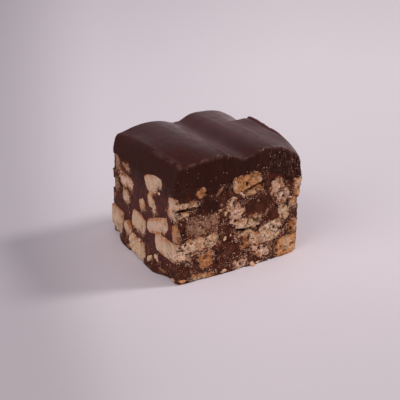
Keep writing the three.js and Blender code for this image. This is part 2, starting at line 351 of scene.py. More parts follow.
# A facet whose normal lies this much along a cut's direction, and that lies within this reach of the cut,
# is where the knife went through.
CUT_FACING, CUT_REACH = 0.85, 3.4
SAME_WAY, SAME_PLACE = 0.97, 0.5  # facets this close in direction and in distance are one plane
CUTS_IN = 0.15  # a plane that leaves a point of the solid further out than this doesn't bound it


class Shard:
    """One biscuit shard as the planes that bound its solid, in the block's millimetres."""

    side_power, cut_power = 9, 26  # how sharply a side gives way to the next, and to the cut face

    def __init__(self, node, block):
        mesh = node.data
        points = np.empty(len(mesh.vertices) * 3)
        normals = np.empty(len(mesh.polygons) * 3)
        middles = np.empty(len(mesh.polygons) * 3)
        areas = np.empty(len(mesh.polygons))
        mesh.vertices.foreach_get("co", points)
        mesh.polygons.foreach_get("normal", normals)
        mesh.polygons.foreach_get("center", middles)
        mesh.polygons.foreach_get("area", areas)
        self.name = node.name
        self.slot = NODE_SLOTS[node.name]
        self.seed = sum(ord(letter) * (i + 3) for i, letter in enumerate(node.name))
        self.points = points.reshape(-1, 3) / MM - BLOCK_CORNER
        self.low = self.points.min(axis=0)
        self.high = self.points.max(axis=0)
        self.centre = self.points.mean(axis=0)
        self.block = block
        self._choose_planes(normals.reshape(-1, 3), middles.reshape(-1, 3) / MM - BLOCK_CORNER, areas)

    def _choose_planes(self, normals, middles, areas):
        """Keeps one plane of each bundle of like facets, largest first, and drops those that cut into the
        solid. The six sides of its box close what is left open."""
        kept, offsets, cut = [], [], []
        for i in np.argsort(-areas):
            normal, offset = normals[i], normals[i] @ middles[i]
            inward = (self.points @ normal).max() > offset + CUTS_IN
            known = any(
                normal @ way > SAME_WAY and abs(offset - place) < SAME_PLACE
                for way, place in zip(kept, offsets)
            )
            if not inward and not known:
                kept.append(normal)
                offsets.append(offset)
                cut.append(self._faces_a_cut(normal, middles[i]))
        for way in np.concatenate([np.eye(3), -np.eye(3)]):
            kept.append(way)
            offsets.append((self.points @ way).max())
            cut.append(self._faces_a_cut(way, self.points[(self.points @ way).argmax()]))
        self.normals = np.array(kept)
        self.offsets = np.array(offsets)
        self.cut = np.array(cut)
        # A biscuit is baked on its two wide faces, which lie across the direction in which it is thinnest.
        thinnest = np.linalg.svd(self.points - self.centre, full_matrices=False)[2][2]
        self.baked = (np.abs(self.normals @ thinnest) > 0.8) & ~self.cut

    def _faces_a_cut(self, normal, middle):
        """True for the face that the knife or the tray left, rather than a broken or baked one."""
        block = self.block
        gaps = {
            "front": middle[1],
            "left": middle[0],
            "right": block.width - middle[0],
            "back": block.depth - middle[1],
            "base": middle[2],
        }
        return any(
            normal @ np.array(way) > CUT_FACING and abs(gaps[side]) < CUT_REACH
            for side, way in CUT_DIRECTIONS.items()
        )

    def outside(self, points):
        """Distance from the shard's broken and baked planes, negative inside them: the largest of them."""
        sides = ~self.cut
        return (points @ self.normals[sides].T - self.offsets[sides]).max(axis=1)

    def surface(self, directions, grow, proud):
        """Where rays from the middle leave the shard, and the outward normals there.

        One over a ray's length is a power sum, over the planes, of its cosine to the plane's normal over
        the plane's distance: first over the sides, and then over that sum and the cut planes, with a higher
        power, so that the cut face keeps a sharp rim. The sides stand out by grow, the cut by proud."""
        reach = self.offsets - self.normals @ self.centre + np.where(self.cut, proud, grow)
        steep = np.maximum(directions @ self.normals.T / reach, 1e-6)
        sides, cuts = steep[:, ~self.cut], steep[:, self.cut]
        side = (sides**self.side_power).sum(axis=1, keepdims=True) ** (1 / self.side_power)
        cut = (cuts**self.cut_power).sum(axis=1, keepdims=True)
        total = (side**self.cut_power + cut) ** (1 / self.cut_power)
        pull = np.empty_like(steep)
        pull[:, self.cut] = (cuts / total) ** (self.cut_power - 1)
        pull[:, ~self.cut] = (side / total) ** (self.cut_power - 1)
        pull[:, ~self.cut] *= (sides / side) ** (self.side_power - 1)
        return self.centre + directions / total, unit(pull / reach @ self.normals)

    def baked_depth(self, points):
        """Distance of each point below the nearest baked face, or a far one where no baked face is left."""
        if not self.baked.any():
            return np.full(len(points), FAR)
        return (self.offsets[self.baked] - points @ self.normals[self.baked].T).min(axis=1)


def read_shards(block):
    """Every shard of the frame, in the order of its name."""
    return [Shard(frame["nodes"][name], block) for name in sorted(NODE_SLOTS) if name.startswith("biscuit")]


DRAG = np.array((0, -0.6, -0.8))  # the knife pulls crumbs this way across the left cut
SPREAD = {"cream": 0.3, "rosy": 0.4}  # how far the crumb of a broken shard spreads past its solid
SHARD_REACH = 3  # points further than this from a shard's box are none of its business


def nearest_shard(points, shards):
    """Distance from each point to the outline of the nearest shard, negative inside one, and how far the
    point lies towards that shard's dragged end, from -1 to 1."""
    nearest = np.full(len(points), FAR)
    dragged = np.zeros(len(points))
    for shard in shards:
        inside = (points > shard.low - SHARD_REACH) & (points < shard.high + SHARD_REACH)
        near = np.flatnonzero(np.all(inside, axis=1))
        spread = SPREAD.get(shard.slot, 0) * shard.block.crumbliness(points[near])
        gap = shard.outside(points[near]) - spread
        closer = gap < nearest[near]
        near, gap = near[closer], gap[closer]
        nearest[near] = gap
        dragged[near] = unit(points[near] - shard.centre) @ DRAG
    return nearest, dragged


# ---------------------------------------------------------------- topping


TOPPING_CELLS = (150, 144, 36)
TORN_FROM, TORN_TO = 27, 33  # the front of the topping turns rough between these distances from the left
# A fine crease runs back from the front cut: its height, where it starts, and how far it goes right as it
# goes back.
CREASE_HEIGHT, CREASE_FRONT, CREASE_SLANT = 0.22, 17.0, 0.14


def crowded(share, amount):
    """A share of 0 to 1 less a sine, so that even steps crowd towards both ends."""
    return share - amount * np.sin(2 * np.pi * share) / (2 * np.pi)


def rounded_slab(block, left_round):
    """The topping before its relief: a box of cells with every edge rolled over by its own radius.

    A point of the sharp box is measured from the inner box that the radii leave, in radii, and that offset
    is made one radius long. The left edge has the large radius, the front edge is nearly sharp. Returns
    points, outward directions, depths below the top, and faces."""
    share, quads = box_grid(TOPPING_CELLS)
    x = block.width * crowded(share[:, 0], 0.3)
    y = block.depth * crowded(share[:, 1], 0.3)
    top = block.top(x, y)
    thick = top - block.seam(x, y) + 0.15
    below = thick * (1 - crowded(share[:, 2], 0.25))
    near_top = step(below, 4.5, 0.5)
    left_top = left_round * (0.55 + 0.45 * step(y, 1, 12)) * (1 - 0.5 * step(y, 32, block.depth))
    radius_x = np.where(x < block.width / 2, mix(0.8, left_top, near_top), mix(1.1, 1.4, near_top))
    front_top = mix(1.5, 0.4, step(x, 3, 12))
    radius_y = np.where(y < block.depth / 2, mix(0.8, front_top, near_top), mix(1.0, 1.1, near_top))
    pulls = np.exp(np.stack([-y / 1.5, -x / 2, (x - block.width) / 2, (y - block.depth) / 2]))
    radii = np.stack([mix(1.2, 0.4, step(x, 3, 12)), left_round + 0 * x, 1.3 + 0 * x, 1.0 + 0 * x])
    edge = (pulls * radii).sum(axis=0) / pulls.sum(axis=0)
    radius_z = np.where(below < thick / 2, edge, 0.4)
    sharp = np.stack([x, y, below], axis=1)
    radius = np.stack([radius_x, radius_y, radius_z], axis=1)
    far_side = np.stack([0 * x + block.width, 0 * x + block.depth, thick], axis=1)
    inner = np.clip(sharp, radius, far_side - radius)
    offset = unit((sharp - inner) / radius)
    place = inner + offset * radius
    outward = unit(offset / radius) * np.array([1, 1, -1])
    points = np.stack([place[:, 0], place[:, 1], top - place[:, 2]], axis=1)
    return points, outward, place[:, 2], quads


def facings(outward):
    """How much each point faces the front, the left, the right and up: its direction's part, squared."""
    parts = (-outward[:, 1], -outward[:, 0], outward[:, 0], outward[:, 2])
    return [np.maximum(part, 0) ** 2 for part in parts]


def shape_topping(block, left_round):
    """The topping's points, faces and attributes.

    The top carries slow waves and flow lines along Y. The front cut carries upright drag marks, and a torn
    zone on its right with pits and deep streaks. A torn lip stands along the middle of the right edge:
    over it on the top, and down from it on the right cut."""
    points, outward, below, quads = rounded_slab(block, left_round)
    x, y = points[:, 0], points[:, 1]
    on_front, on_left, on_right, on_top = facings(outward)
    torn = on_front * step(x + 1.5 * noise(points, 2.5, 5), TORN_FROM, TORN_TO)
    raised = step(y, 28.8, 27.8) * step(y, 7, 15)
    over = step(x, block.width - 2.1, block.width - 1.3) * step(below, 1.6, 0.3) * raised
    down = on_right * step(below, 3.5, 0.5) * step(y, 33, 23) * step(y, 7, 15)
    lip = np.maximum(over, down)

    relief = on_top * (0.16 * noise(points, (9, 14, 99), 1) + 0.05 * noise(points, (1.6, 16, 99), 2))
    relief += on_top * CREASE_HEIGHT * bell(x, CREASE_FRONT + CREASE_SLANT * y, 0.6)
    relief += on_top * 0.18 * bell(x, 2.0, 0.5) * step(y, 1, 4) * step(y, 34, 24)
    relief += on_front * (0.22 * noise(points, (4, 9, 6), 3) + 0.07 * noise(points, (0.7, 9, 5), 4))
    relief += on_left * (0.2 * noise(points, (9, 7, 6), 6) + 0.035 * noise(points, (9, 0.8, 6), 7))
    relief += on_right * (0.25 * noise(points, (9, 3, 4), 8) + 0.1 * noise(points, (9, 0.8, 2), 9))
    rough = 0.4 * noise(points, (0.9, 5, 5), 10) + 0.22 * noise(points, 0.7, 11)
    rough -= 0.6 * pits(points, 1.1, 0.35, 12)
    relief += torn * (rough - 0.1)
    relief += lip * (0.4 + 0.16 * noise(points, (2, 4, 2), 13) + 0.08 * noise(points, 0.7, 14))
    relief -= 0.12 * on_top * raised * bell(x, block.width - 2.5, 0.4)
    hem = step(y, 1.6, 0.2) * on_top * step(x, 6, 20)
    nicks = step(noise(points, (2.4, 9, 9), 16), 0.35, 0.8)
    chipped = hem * (0.16 * noise(points, (1.1, 9, 9), 15) - 0.35 * nicks)
    points = points + outward * relief[:, None]
    points[:, 2] += chipped
    haze = step(y + 0.6 * x + 3 * noise(points, (7, 9, 99), 17), 7, 36)
    attributes = {
        "cut": np.clip(1 - 1.3 * on_top, 0, 1),
        "torn": np.clip(torn + 0.5 * lip, 0, 1),
        "lip": np.clip(over, 0, 1),
        "front": on_front,
        "bloom": mix(0.3, 1, step(x, 2, 26)) * (0.16 + 0.7 * haze),
        # where a pale line is painted along the top's front edge and by its left edge: a highlight, partly
        # scuffs
        "rim": np.maximum(step(y, 1.2, 0.3), bell(x, 1.4, 0.6) * step(y, 30, 12)) * step(below, 1.2, 0.2),
    }
    return block.lean(points), quads, attributes


# ---------------------------------------------------------------- filling


BASE_INSETS = (0.5, 1.4, 2.8, 5, 8, 12, 16)  # rings of the underside, from its edge to its middle
LID_INSETS = (0.8, 3, 8, 14)  # rings of the hidden lid
FOOT_ROUND = 0.2  # radius of the edge round the underside
CORNER_ROUND = 0.8  # radius of the upright edges
LID_LIFT = 0.35  # the lid lies this far inside the topping

# Smooth chocolate on the front cut: the middle of each patch along the cut and in height, and its radii.
CALM_PATCHES = (
    ((30, 20.2), (4.2, 3.4)),
    ((11.2, 22.4), (4.0, 2.9)),
    ((6, 28.4), (9.5, 2.8)),
    ((19.2, 6.9), (2.8, 2.7)),
    ((2.4, 3.6), (4, 2.6)),
    ((2.6, 18.6), (2.2, 1.8)),
    ((35.2, 15), (2.2, 2.4)),
)
# Where that chocolate has no crumb in it, in the same way.
DARK_PATCHES = (
    ((6.5, 28.4), (9.5, 3.2)),
    ((11.2, 22.6), (4.0, 2.7)),
)

# Cracks on the front cut, beside a shard: from one end to the other along the cut and in height.
CRACKS = (
    ((22.0, 24.9), (31.4, 27.2)),
    ((-0.4, 23.5), (7.8, 23.5)),
    ((20.8, 12.9), (27.2, 12.5)),
    ((0.6, 10.9), (3.2, 10.7)),
    ((38.9, 16.6), (41.4, 18.2)),
    ((28.6, 21.0), (30.0, 21.5)),
    ((36.4, 8.6), (39.4, 10.2)),
)


def plan_loop(block, cell):
    """The block's plan as a closed loop of even steps with rounded corners, and its outward directions."""
    count_x, count_y = round(block.width / cell), round(block.depth / cell)
    along_x, along_y = np.arange(count_x) / count_x, np.arange(count_y) / count_y
    zero, one = np.zeros(count_x), np.ones(count_y)
    x = np.concatenate([along_x, one, 1 - along_x, 0 * one]) * block.width
    y = np.concatenate([zero, along_y, 1 + zero, 1 - along_y]) * block.depth
    sharp = np.stack([x, y], axis=1)
    inner = np.clip(sharp, CORNER_ROUND, np.array([block.width, block.depth]) - CORNER_ROUND)
    outward = unit(sharp - inner)
    return inner + CORNER_ROUND * outward, outward


def filling_rings(block, cell):
    """The filling as rings of its plan: out from the middle of the base, up the walls, and in over the lid.

    Each ring is the plan drawn towards the middle by an inset, at a height that is a share of the seam's.
    Returns the rings, the plan's outward directions, and 1 for each ring on the walls, or else 0."""
    loop, outward = plan_loop(block, cell)
    middle = np.array([block.width, block.depth]) / 2
    rows = round(block.fill / cell)
    share = (np.arange(rows + 1) / rows)[:, None]
    lid = block.seam(loop[:, 0], loop[:, 1])[None, :] + LID_LIFT
    height = share * lid
    curl = np.maximum(0, 1 - height / FOOT_ROUND)
    inset = FOOT_ROUND * (1 - np.sqrt(np.maximum(0, 1 - curl**2)))
    base = np.array(BASE_INSETS[::-1])[:, None] + FOOT_ROUND + 0 * lid
    over = np.array(LID_INSETS)[:, None] + 0 * lid
    insets = np.concatenate([base, inset, over])
    heights = np.concatenate([0 * base, height, 0 * over + lid])
    shrink = 1 - insets / middle.min()
    plan = middle + (loop - middle)[None] * shrink[..., None]
    points = np.concatenate([plan, heights[..., None]], axis=2)
    on_wall = np.zeros(len(insets))
    on_wall[len(base) : len(base) + rows + 1] = 1
    return points, outward, on_wall


def ring_faces(rings, size):
    """Quads between neighbouring rings, and a fan to a middle point at each end; all face outwards."""
    index = np.arange(rings * size).reshape(rings, size)
    beside = np.roll(index, -1, axis=1)
    quads = np.stack([index[:-1], beside[:-1], beside[1:], index[1:]], axis=-1).reshape(-1, 4)
    foot = np.stack([np.full(size, rings * size), beside[0], index[0]], axis=1)
    head = np.stack([index[-1], beside[-1], np.full(size, rings * size + 1)], axis=1)
    return [quads, np.concatenate([foot, head])]


def calm(points):
    """From 0 to 1 on smooth chocolate: the patches of the front cut, and by noise on the other cuts."""
    quiet = step(noise(points, 5.5, 32), 0.05, 0.4) * (points[:, 1] > 2)
    return np.maximum(quiet, patches(points, CALM_PATCHES))


def patches(points, ovals):
    """From 0 to 1 inside ovals on the front cut, their outlines moved a little by noise."""
    share = np.zeros(len(points))
    wander = 0.18 * noise(points, 1.8, 33)
    for middle, radii in ovals:
        far = np.linalg.norm((points[:, [0, 2]] - middle) / radii, axis=1) + wander
        share = np.maximum(share, step(far, 1.1, 0.75))
    return share * (points[:, 1] < 2)


def crack_depth(points):
    """From 0 to 1 in the middle of a crack: nearness to its line on the front cut, less at both ends."""
    plan = points[:, [0, 2]]
    deepest = np.zeros(len(points))
    wander = 0.25 * noise(points, 1.5, 31)
    for start, end in CRACKS:
        start, end = np.array(start), np.array(end)
        t = np.clip((plan - start) @ (end - start) / ((end - start) @ (end - start)), 0, 1)
        gap = np.linalg.norm(plan - start - t[:, None] * (end - start), axis=1) + wander
        deepest = np.maximum(deepest, step(gap, 0.5, 0.2) * np.sqrt(np.sin(np.pi * np.clip(t, 0.03, 0.97))))
    return deepest * (points[:, 1] < 2)


def pocket_depth(block, points, gap, ragged, deepest):
    """How far the wall draws back inside the outline of a shard, which noise frays.

    An island of chocolate over the biscuit isn't drawn back, and two of the upright edges are less so."""
    fray = mix(0.26, 0.45, ragged) * noise(points, 1.9, 21)
    fray += mix(0.24, 0.42, ragged) * noise(points, 0.75, 22)
    inside = step(gap + fray, 0.34, -0.3)
    clumps = step(noise(points, 1.3, 23) + 0.5 * noise(points, 0.7, 24), 0.5, 0.75)
    island = ragged * clumps * step(gap, -1.6, -0.3)
    x, y = points[:, 0], points[:, 1]
    back_left = step(y, 39.5, 42) * step(x, 3, 1)
    front_right = step(x, block.width - 2.5, block.width - 0.8) * step(y, 3, 1)
    return deepest * (1 - 0.6 * np.maximum(back_left, front_right)) * (inside * (1 - island))


def wall_relief(points, gap, crumbly, coarse, ragged):
    """The relief of the filling's walls: swells and grains, less pits, and a low bank along each shard."""
    relief = mix(0.1, 0.3, crumbly) * noise(points, 3.4, 25)
    relief += mix(0.02, 0.18, coarse) * noise(points, 1.2, 26)
    relief += mix(0.015, 0.13, coarse) * noise(points, 0.55, 27)
    relief -= 0.5 * coarse * pits(points, 1.5, 0.3, 28)
    relief -= mix(0.1, 0.25, coarse) * pits(points, 0.8, 0.14, 29)
    relief += 0.16 * step(np.abs(gap), 0.9, 0.1) * mix(0.3, 1, ragged)
    return relief * step(points[:, 2], 0, 0.6)


def shape_filling(block, shards, cell, pocket):
    """The filling's points, faces and attributes, and the surface that crumbs are scattered on.

    The rings lean to the real walls. Each cut is broken or clean, and patches of its chocolate are smooth.
    The wall is drawn back into a pocket at each shard and further in each crack, and tucked in under the
    topping. Round the end of a shard that the knife drags, a clean cut is as ragged as a broken one."""
    rings, outward, on_wall = filling_rings(block, cell)
    count, size = rings.shape[:2]
    points = block.lean(rings.reshape(-1, 3))
    wall = np.repeat(on_wall, size)
    outward = np.concatenate([np.tile(outward, (count, 1)), np.zeros((count * size, 1))], axis=1)

    crumbly = block.crumbliness(points)
    coarse = crumbly * (1 - 0.9 * calm(points))
    gap, dragged = nearest_shard(points, shards)
    ragged = np.maximum(crumbly, 1.2 * step(dragged, 0.2, 0.75))
    crack = crack_depth(points) * wall
    seam = block.seam(points[:, 0], points[:, 1])
    tucked = 0.25 * step(points[:, 2], seam - 0.2, seam + 0.2)
    relief = wall_relief(points, gap, crumbly, coarse, ragged)
    relief -= pocket_depth(block, points, gap, ragged, pocket)
    points = points + outward * (wall * (relief - 1.5 * crack - tucked))[:, None]
    points[:, 2] = np.maximum(points[:, 2], 0)

    dusted = np.maximum(coarse, 0.9 * (ragged - crumbly) * step(np.abs(gap), 2.2, 0.3))
    dusted = np.maximum(dusted, 0.85 * step(points[:, 2], 10, 4))
    upper = step(points[:, 2], seam - mix(9, 2.5, crumbly), seam)
    attributes = {
        "crumbly": coarse,
        "near": np.exp(-np.maximum(gap, 0) / 1.1),
        "upper": np.maximum(upper, patches(points, DARK_PATCHES)),
        "broken": crumbly,
        "dusting": dusted,
        # where the finish paints shade deep in a crack
        "crack": crack,
    }
    centre_x, centre_y = block.width / 2, block.depth / 2
    poles = [[centre_x, centre_y, 0], [centre_x, centre_y, block.seam(centre_x, centre_y) + LID_LIFT]]
    attributes = {name: np.append(values, np.zeros(len(poles))) for name, values in attributes.items()}
    surface = {"points": points, "outward": outward, "gap": gap, "crumbly": dusted, "wall": wall}
    return np.concatenate([points, poles]), ring_faces(count, size), attributes, surface


# ---------------------------------------------------------------- shards, dressed


SHARD_CELL = 0.28  # length of a mesh cell
SHARD_CELLS = (9, 42)  # fewest and most cells along a side
LUMP = 1.7  # size of the lumps that a broken face crumbles into
# How deep the clefts between those lumps are.
CLEFT_DEPTH = {"golden": 0.1, "cream": 0.34, "rosy": 0.32, "toasted": 0.14, "dusty": 0.16}
# How far each shard grows into the chocolate round it, past the small gap that its solid keeps.
SHARD_GROWTH = {"golden": 0.4, "cream": 0.55, "rosy": 0.6, "toasted": 0.45, "dusty": 1.0}


def crumb_relief(shard, points, crumbly):
    """How far each point of a shard stands out, its lump's own number from 0 to 1, and how hollow it is.

    The relief is waves, grains and a level for each lump, less pores, holes, and the clefts between lumps,
    all of them stronger the more broken the cut is."""
    pores = pits(points, 0.85, 0.3, shard.seed + 1)
    holes = pits(points, 1.9, 0.2, shard.seed + 2)
    bent = points + 0.5 * swirls(points, 1.1, shard.seed + 21)
    distance, own = dots(bent, LUMP, shard.seed + 5)
    clefts = step(distance, 0.56, 0.78) * step(noise(points, 2.6, shard.seed + 7), -0.4, 0.15)
    relief = mix(0.04, 0.16, crumbly) * noise(points, 1.6, shard.seed + 3)
    relief += mix(0.015, 0.09, crumbly) * noise(points, 0.6, shard.seed + 4)
    relief += 0.16 * crumbly * own
    relief -= mix(0.02, 0.16, crumbly) * pores + 0.55 * crumbly * holes
    relief -= CLEFT_DEPTH[shard.slot] * crumbly * clefts
    hollow = np.clip(0.6 * pores + holes + 2.4 * CLEFT_DEPTH[shard.slot] * clefts, 0, 1)
    return relief, 0.5 + 0.5 * own, hollow * mix(0.12, 1, crumbly)


def shape_shard(shard, block):
    """One shard's points, faces and attributes.

    Rays from its middle meet its planes, blended at their edges, and noise turns the rays, most of all
    towards the end that the knife drags. Then the faces get their crumb relief and cracks. On the broken
    cuts the cut face stands a little proud or sunk, and on the block's right edges always proud."""
    half = (shard.high - shard.low) / 2
    cells = tuple(int(n) for n in np.clip(np.round(2 * half / SHARD_CELL), *SHARD_CELLS))
    share, quads = box_grid(cells)
    directions = unit((2 * share - 1) * half)
    broken = float(block.crumbliness(shard.centre + directions * half).mean())
    dragged = unit(directions * half) @ DRAG
    ragged = np.maximum(0.18, 0.22 * step(dragged, 0.2, 0.8))[:, None]
    swirl = swirls(directions, 0.6, shard.seed) + 0.7 * swirls(directions, 0.25, shard.seed + 10)
    proud = 0.2 * float(lattice(np.array([shard.seed, 3, 5]), 1)) * broken
    if "corner" in shard.name and shard.centre[0] > block.width / 2:
        proud = max(proud, 0.4)
    grow = SHARD_GROWTH[shard.slot] + SPREAD.get(shard.slot, 0) * broken
    points, outward = shard.surface(unit(directions + ragged * swirl), grow, proud)

    crumbly = block.crumbliness(points)
    relief, lump, hollow = crumb_relief(shard, points, crumbly)
    crack = crack_depth(points)
    points = points + outward * (relief - 1.1 * crack)[:, None]
    points[:, 2] = np.maximum(points[:, 2], 0.05)
    deep = shard.baked_depth(points)
    height = (points[:, 2] - shard.centre[2]) / half[2]
    warm = step(height + 0.5 * noise(points, 2.2, shard.seed + 6), 0.25, 0.9) * (1 - crumbly)
    attributes = {
        "toast": np.maximum(np.exp(-np.maximum(deep, 0) / 0.55), 0.8 * warm),
        "lump": lump,
        "edge": np.exp(-np.maximum(-shard.outside(points), 0) / 0.7),
        "crumbly": crumbly,
        "drag": step(dragged, 0.1, 0.85) * (1 - crumbly),
        # how hollow a point is; the finish paints shade there
        "pore": hollow,
        # where the finish paints shade deep in a crack
        "crack": crack,
    }
    return points, quads, attributes


# ---------------------------------------------------------------- chips and crumbs


UP = np.array([0, 0, 1.0])
IN_SHARD = -0.2  # a chip whose middle is this far inside a shard's outline wouldn't show
CHIP_PLANES = 14  # planes that break a chip out of a ball
CHIP_CELLS = (9, 9, 9)
CRUMB_CELLS = (2, 2, 2)
SPECKS = 95  # crumbs on the topping
COOL = (0.88, 0.92, 0.97)  # what a tone is multiplied by on loose crumbs and on a clean knife cut

# Small chips, listed: cut, distance along it, height, length and thickness, tilt in degrees, and tone.
PLACED_CHIPS = (
    ("front", 15.0, 27.4, 2.6, 1.7, 65, "dusty"),
    ("front", 26.2, 0.8, 2.6, 1.5, 4, "rosy"),
    ("front", 28.6, 0.7, 1.8, 1.2, 0, "cream"),
    ("front", 19.6, 0.8, 2.0, 1.2, 10, "dusty"),
    ("front", 16.1, 0.8, 2.8, 1.3, 8, "cream"),
    ("front", 33.2, 1.1, 2.6, 1.5, 10, "rosy"),
    ("front", 2.0, 0.9, 3.0, 1.2, 0, "golden"),
    ("front", 5.2, 1.6, 2.4, 1.2, -20, "toasted"),
    ("front", 17.2, 19.6, 2.0, 1.6, 40, "cream"),
    ("front", 15.2, 21.2, 1.4, 1.1, 0, "cream"),
    ("front", 19.2, 16.2, 2.2, 1.5, 60, "rosy"),
    ("front", 20.8, 15.4, 1.7, 1.3, -30, "cream"),
    ("front", 19.0, 11.2, 1.9, 1.4, -20, "rosy"),
    ("front", 16.9, 11.6, 1.5, 1.2, 70, "cream"),
    ("front", 22.6, 24.3, 2.0, 1.5, -35, "rosy"),
    ("front", 28.9, 21.4, 1.5, 1.1, 20, "dusty"),
    ("front", 32.0, 17.4, 2.4, 1.4, 60, "dusty"),
    ("front", 38.0, 17.4, 2.4, 1.8, -60, "rosy"),
    ("front", 35.9, 26.8, 1.4, 1.0, 0, "dusty"),
    ("left", 1.6, 0.8, 2.6, 1.3, 0, "rosy"),
    ("left", 10.5, 5.0, 3.0, 2.2, 40, "rosy"),
    ("left", 7.2, 1.4, 2.2, 1.4, 0, "dusty"),
    ("left", 12.9, 3.4, 2.4, 1.5, 50, "cream"),
    ("left", 17.0, 0.9, 2.2, 1.2, 0, "toasted"),
    ("left", 27.6, 0.9, 2.6, 1.2, 10, "dusty"),
    ("left", 41.2, 14.2, 4.2, 1.5, 66, "dusty"),
    ("left", 36.2, 24.6, 2.4, 1.5, -20, "rosy"),
    ("left", 5.6, 22.8, 1.8, 1.3, 0, "dusty"),
    ("left", 9.2, 26.4, 1.8, 1.2, 30, "rosy"),
)
RULED_CHIPS = {"front": 6, "right": 20, "back": 16}  # how many more chips a cut gets by rule


def turns(random, count):
    """Random rotation matrices, by the orthogonal factor of random square matrices, made right-handed."""
    factor = np.linalg.qr(random.normal(size=(count, 3, 3)))[0]
    return factor * np.sign(np.linalg.det(factor))[:, None, None]


def cut_point(block, cut, along, height):
    """The place on a cut at a distance along it from the front or the left, at a height."""
    spots = {
        "front": (along, 0, height),
        "back": (along, block.depth, height),
        "left": (0, along, height),
        "right": (block.width, along, height),
    }
    return block.lean(np.array([spots[cut]], float))[0]


def angular_lump(random, directions):
    """A small broken lump of about unit size: rays cut off by random planes, blended as a shard's are."""
    normals = unit(random.normal(size=(CHIP_PLANES, 3)))
    reach = random.uniform(0.75, 1.1, CHIP_PLANES)
    steep = np.maximum(directions @ normals.T / reach, 0.35)
    return directions * ((steep**10).sum(axis=1) ** -0.1)[:, None]


def shape_chips(block, shards, tones):
    """All small chips as one mesh: lumps with their length along the cut, more than half sunk in it.

    A chip whose place lies in a shard is left out."""
    random = np.random.default_rng(41)
    share, quads = box_grid(CHIP_CELLS)
    directions = unit(2 * share - 1)
    rows = list(PLACED_CHIPS)
    for cut, count in RULED_CHIPS.items():
        cut_length = block.width if cut in ("front", "back") else block.depth
        for _ in range(count):
            along, height = random.uniform(1.5, cut_length - 1.5), random.uniform(1, 26)
            size = random.uniform(1.0, 2.4)
            tone = ("cream", "rosy", "dusty", "golden")[random.integers(4)]
            thick, tilt = size * random.uniform(0.5, 0.9), random.uniform(-90, 90)
            rows.append((cut, along, height, size, thick, tilt, tone))
    points, colours = [], []
    for cut, along, height, long, thick, tilt, tone in rows:
        place = cut_point(block, cut, along, height)
        if nearest_shard(place[None], shards)[0][0] < IN_SHARD:
            continue
        facing = np.array(CUT_DIRECTIONS[cut], float)
        level = np.cross(UP, facing)
        angle = math.radians(tilt)
        lengthwise = level * math.cos(angle) + UP * math.sin(angle)
        axes = np.stack([lengthwise, np.cross(facing, lengthwise), facing])
        lump = angular_lump(random, directions) * np.array([long / 2, thick / 2, 0.8])
        made = place - (0.6 if cut == "left" else 0.5) * facing + lump @ axes
        made += 0.2 * unit(lump @ axes) * (noise(made, 0.55, 43) - pits(made, 0.9, 0.4, 44))[:, None]
        made[:, 2] = np.maximum(made[:, 2], 0.05)
        points.append(made)
        colours.append(np.tile(tones[tone], (len(made), 1)))
    faces = np.concatenate([quads + i * len(directions) for i in range(len(points))])
    return np.concatenate(points), faces, {"tint": np.concatenate(colours)}


def scatter(random, places, outward, sizes, sunk):
    """Crumbs as one mesh: lumps of 26 points, each turned, stretched and pushed in and out at random.

    A crumb's middle lies below its place by a share of its size. Returns points, faces, and the points in
    one crumb."""
    share, quads = box_grid(CRUMB_CELLS)
    base = unit(2 * share - 1)
    count = len(places)
    lumps = base[None] * random.uniform(0.72, 1.15, (count, len(base), 1))
    lumps = lumps * random.uniform(0.6, 1.0, (count, 1, 3))
    lumps = np.einsum("nij,nkj->nki", turns(random, count), lumps) * (sizes / 2)[:, None, None]
    lumps += (places - outward * (sizes * sunk)[:, None])[:, None]
    faces = (quads[None] + (np.arange(count) * len(base))[:, None, None]).reshape(-1, 4)
    return lumps.reshape(-1, 3), faces, len(base)


def pick(random, weights, count):
    """Indices drawn with chances in proportion to the weights."""
    return np.searchsorted(np.cumsum(weights) / weights.sum(), random.uniform(size=count))


def shape_crumbs(block, surface, tones, count):
    """Loose crumbs on the cuts: most on the broken cuts, thickest round the shards and in clusters."""
    random = np.random.default_rng(57)
    points, gap = surface["points"], surface["gap"]
    cluster = step(noise(points, 4.2, 51) + 0.8 * noise(points, 1.6, 52), 0, 0.8)
    weights = surface["wall"] * (surface["crumbly"] ** 1.4 + 0.02) * (0.04 + cluster)
    weights = weights * (0.3 + 1.6 * np.exp(-np.abs(gap) / 0.8)) * (points[:, 2] > 0.5)
    weights = weights * (1 - 0.85 * step(points[:, 2], block.fill - 4, block.fill - 1))
    chosen = pick(random, weights, count)
    sizes = 0.26 + 0.6 * random.beta(1.2, 4.5, count)
    made, faces, each = scatter(random, points[chosen], surface["outward"][chosen], sizes, 0.12)
    made[:, 2] = np.maximum(made[:, 2], 0.03)
    palette = np.array([tones[t] for t in ("cream", "cream", "rosy", "rosy", "golden", "mix")])
    colours = palette[random.integers(len(palette), size=count)]
    colours = colours * random.uniform(0.8, 1.2, (count, 1)) * COOL
    return made, faces, {"tint": np.repeat(colours, each, axis=0)}


def shape_specks(block, left_round, tones):
    """Fine pale specks on the topping: thick on the torn zone, some along the seam and the front edge, few
    on the rest of the front cut, and fewer on the top."""
    random = np.random.default_rng(71)
    points, outward, below, _ = rounded_slab(block, left_round)
    on_front, _, _, on_top = facings(outward)
    level = on_top**2
    torn = on_front * step(points[:, 0], TORN_FROM, TORN_TO)
    hem = level * step(points[:, 1], 3, 0)
    low = on_front * step(below, 3.5, 7)
    weights = 0.45 * torn + 0.07 * on_front + 0.2 * low + 0.1 * hem + 0.0008 * level
    weights = weights * step(below, 9.3, 8.3)
    chosen = pick(random, weights, SPECKS)
    sizes = random.uniform(0.16, 0.42, len(chosen))
    place = block.lean(points)[chosen]
    made, faces, each = scatter(random, place, outward[chosen], sizes, 0.1)
    colours = np.array([tones[t] for t in ("cream", "rosy", "dusty")])[random.integers(3, size=len(chosen))]
    return made, faces, {"tint": np.repeat(colours, each, axis=0)}


# ---------------------------------------------------------------- materials


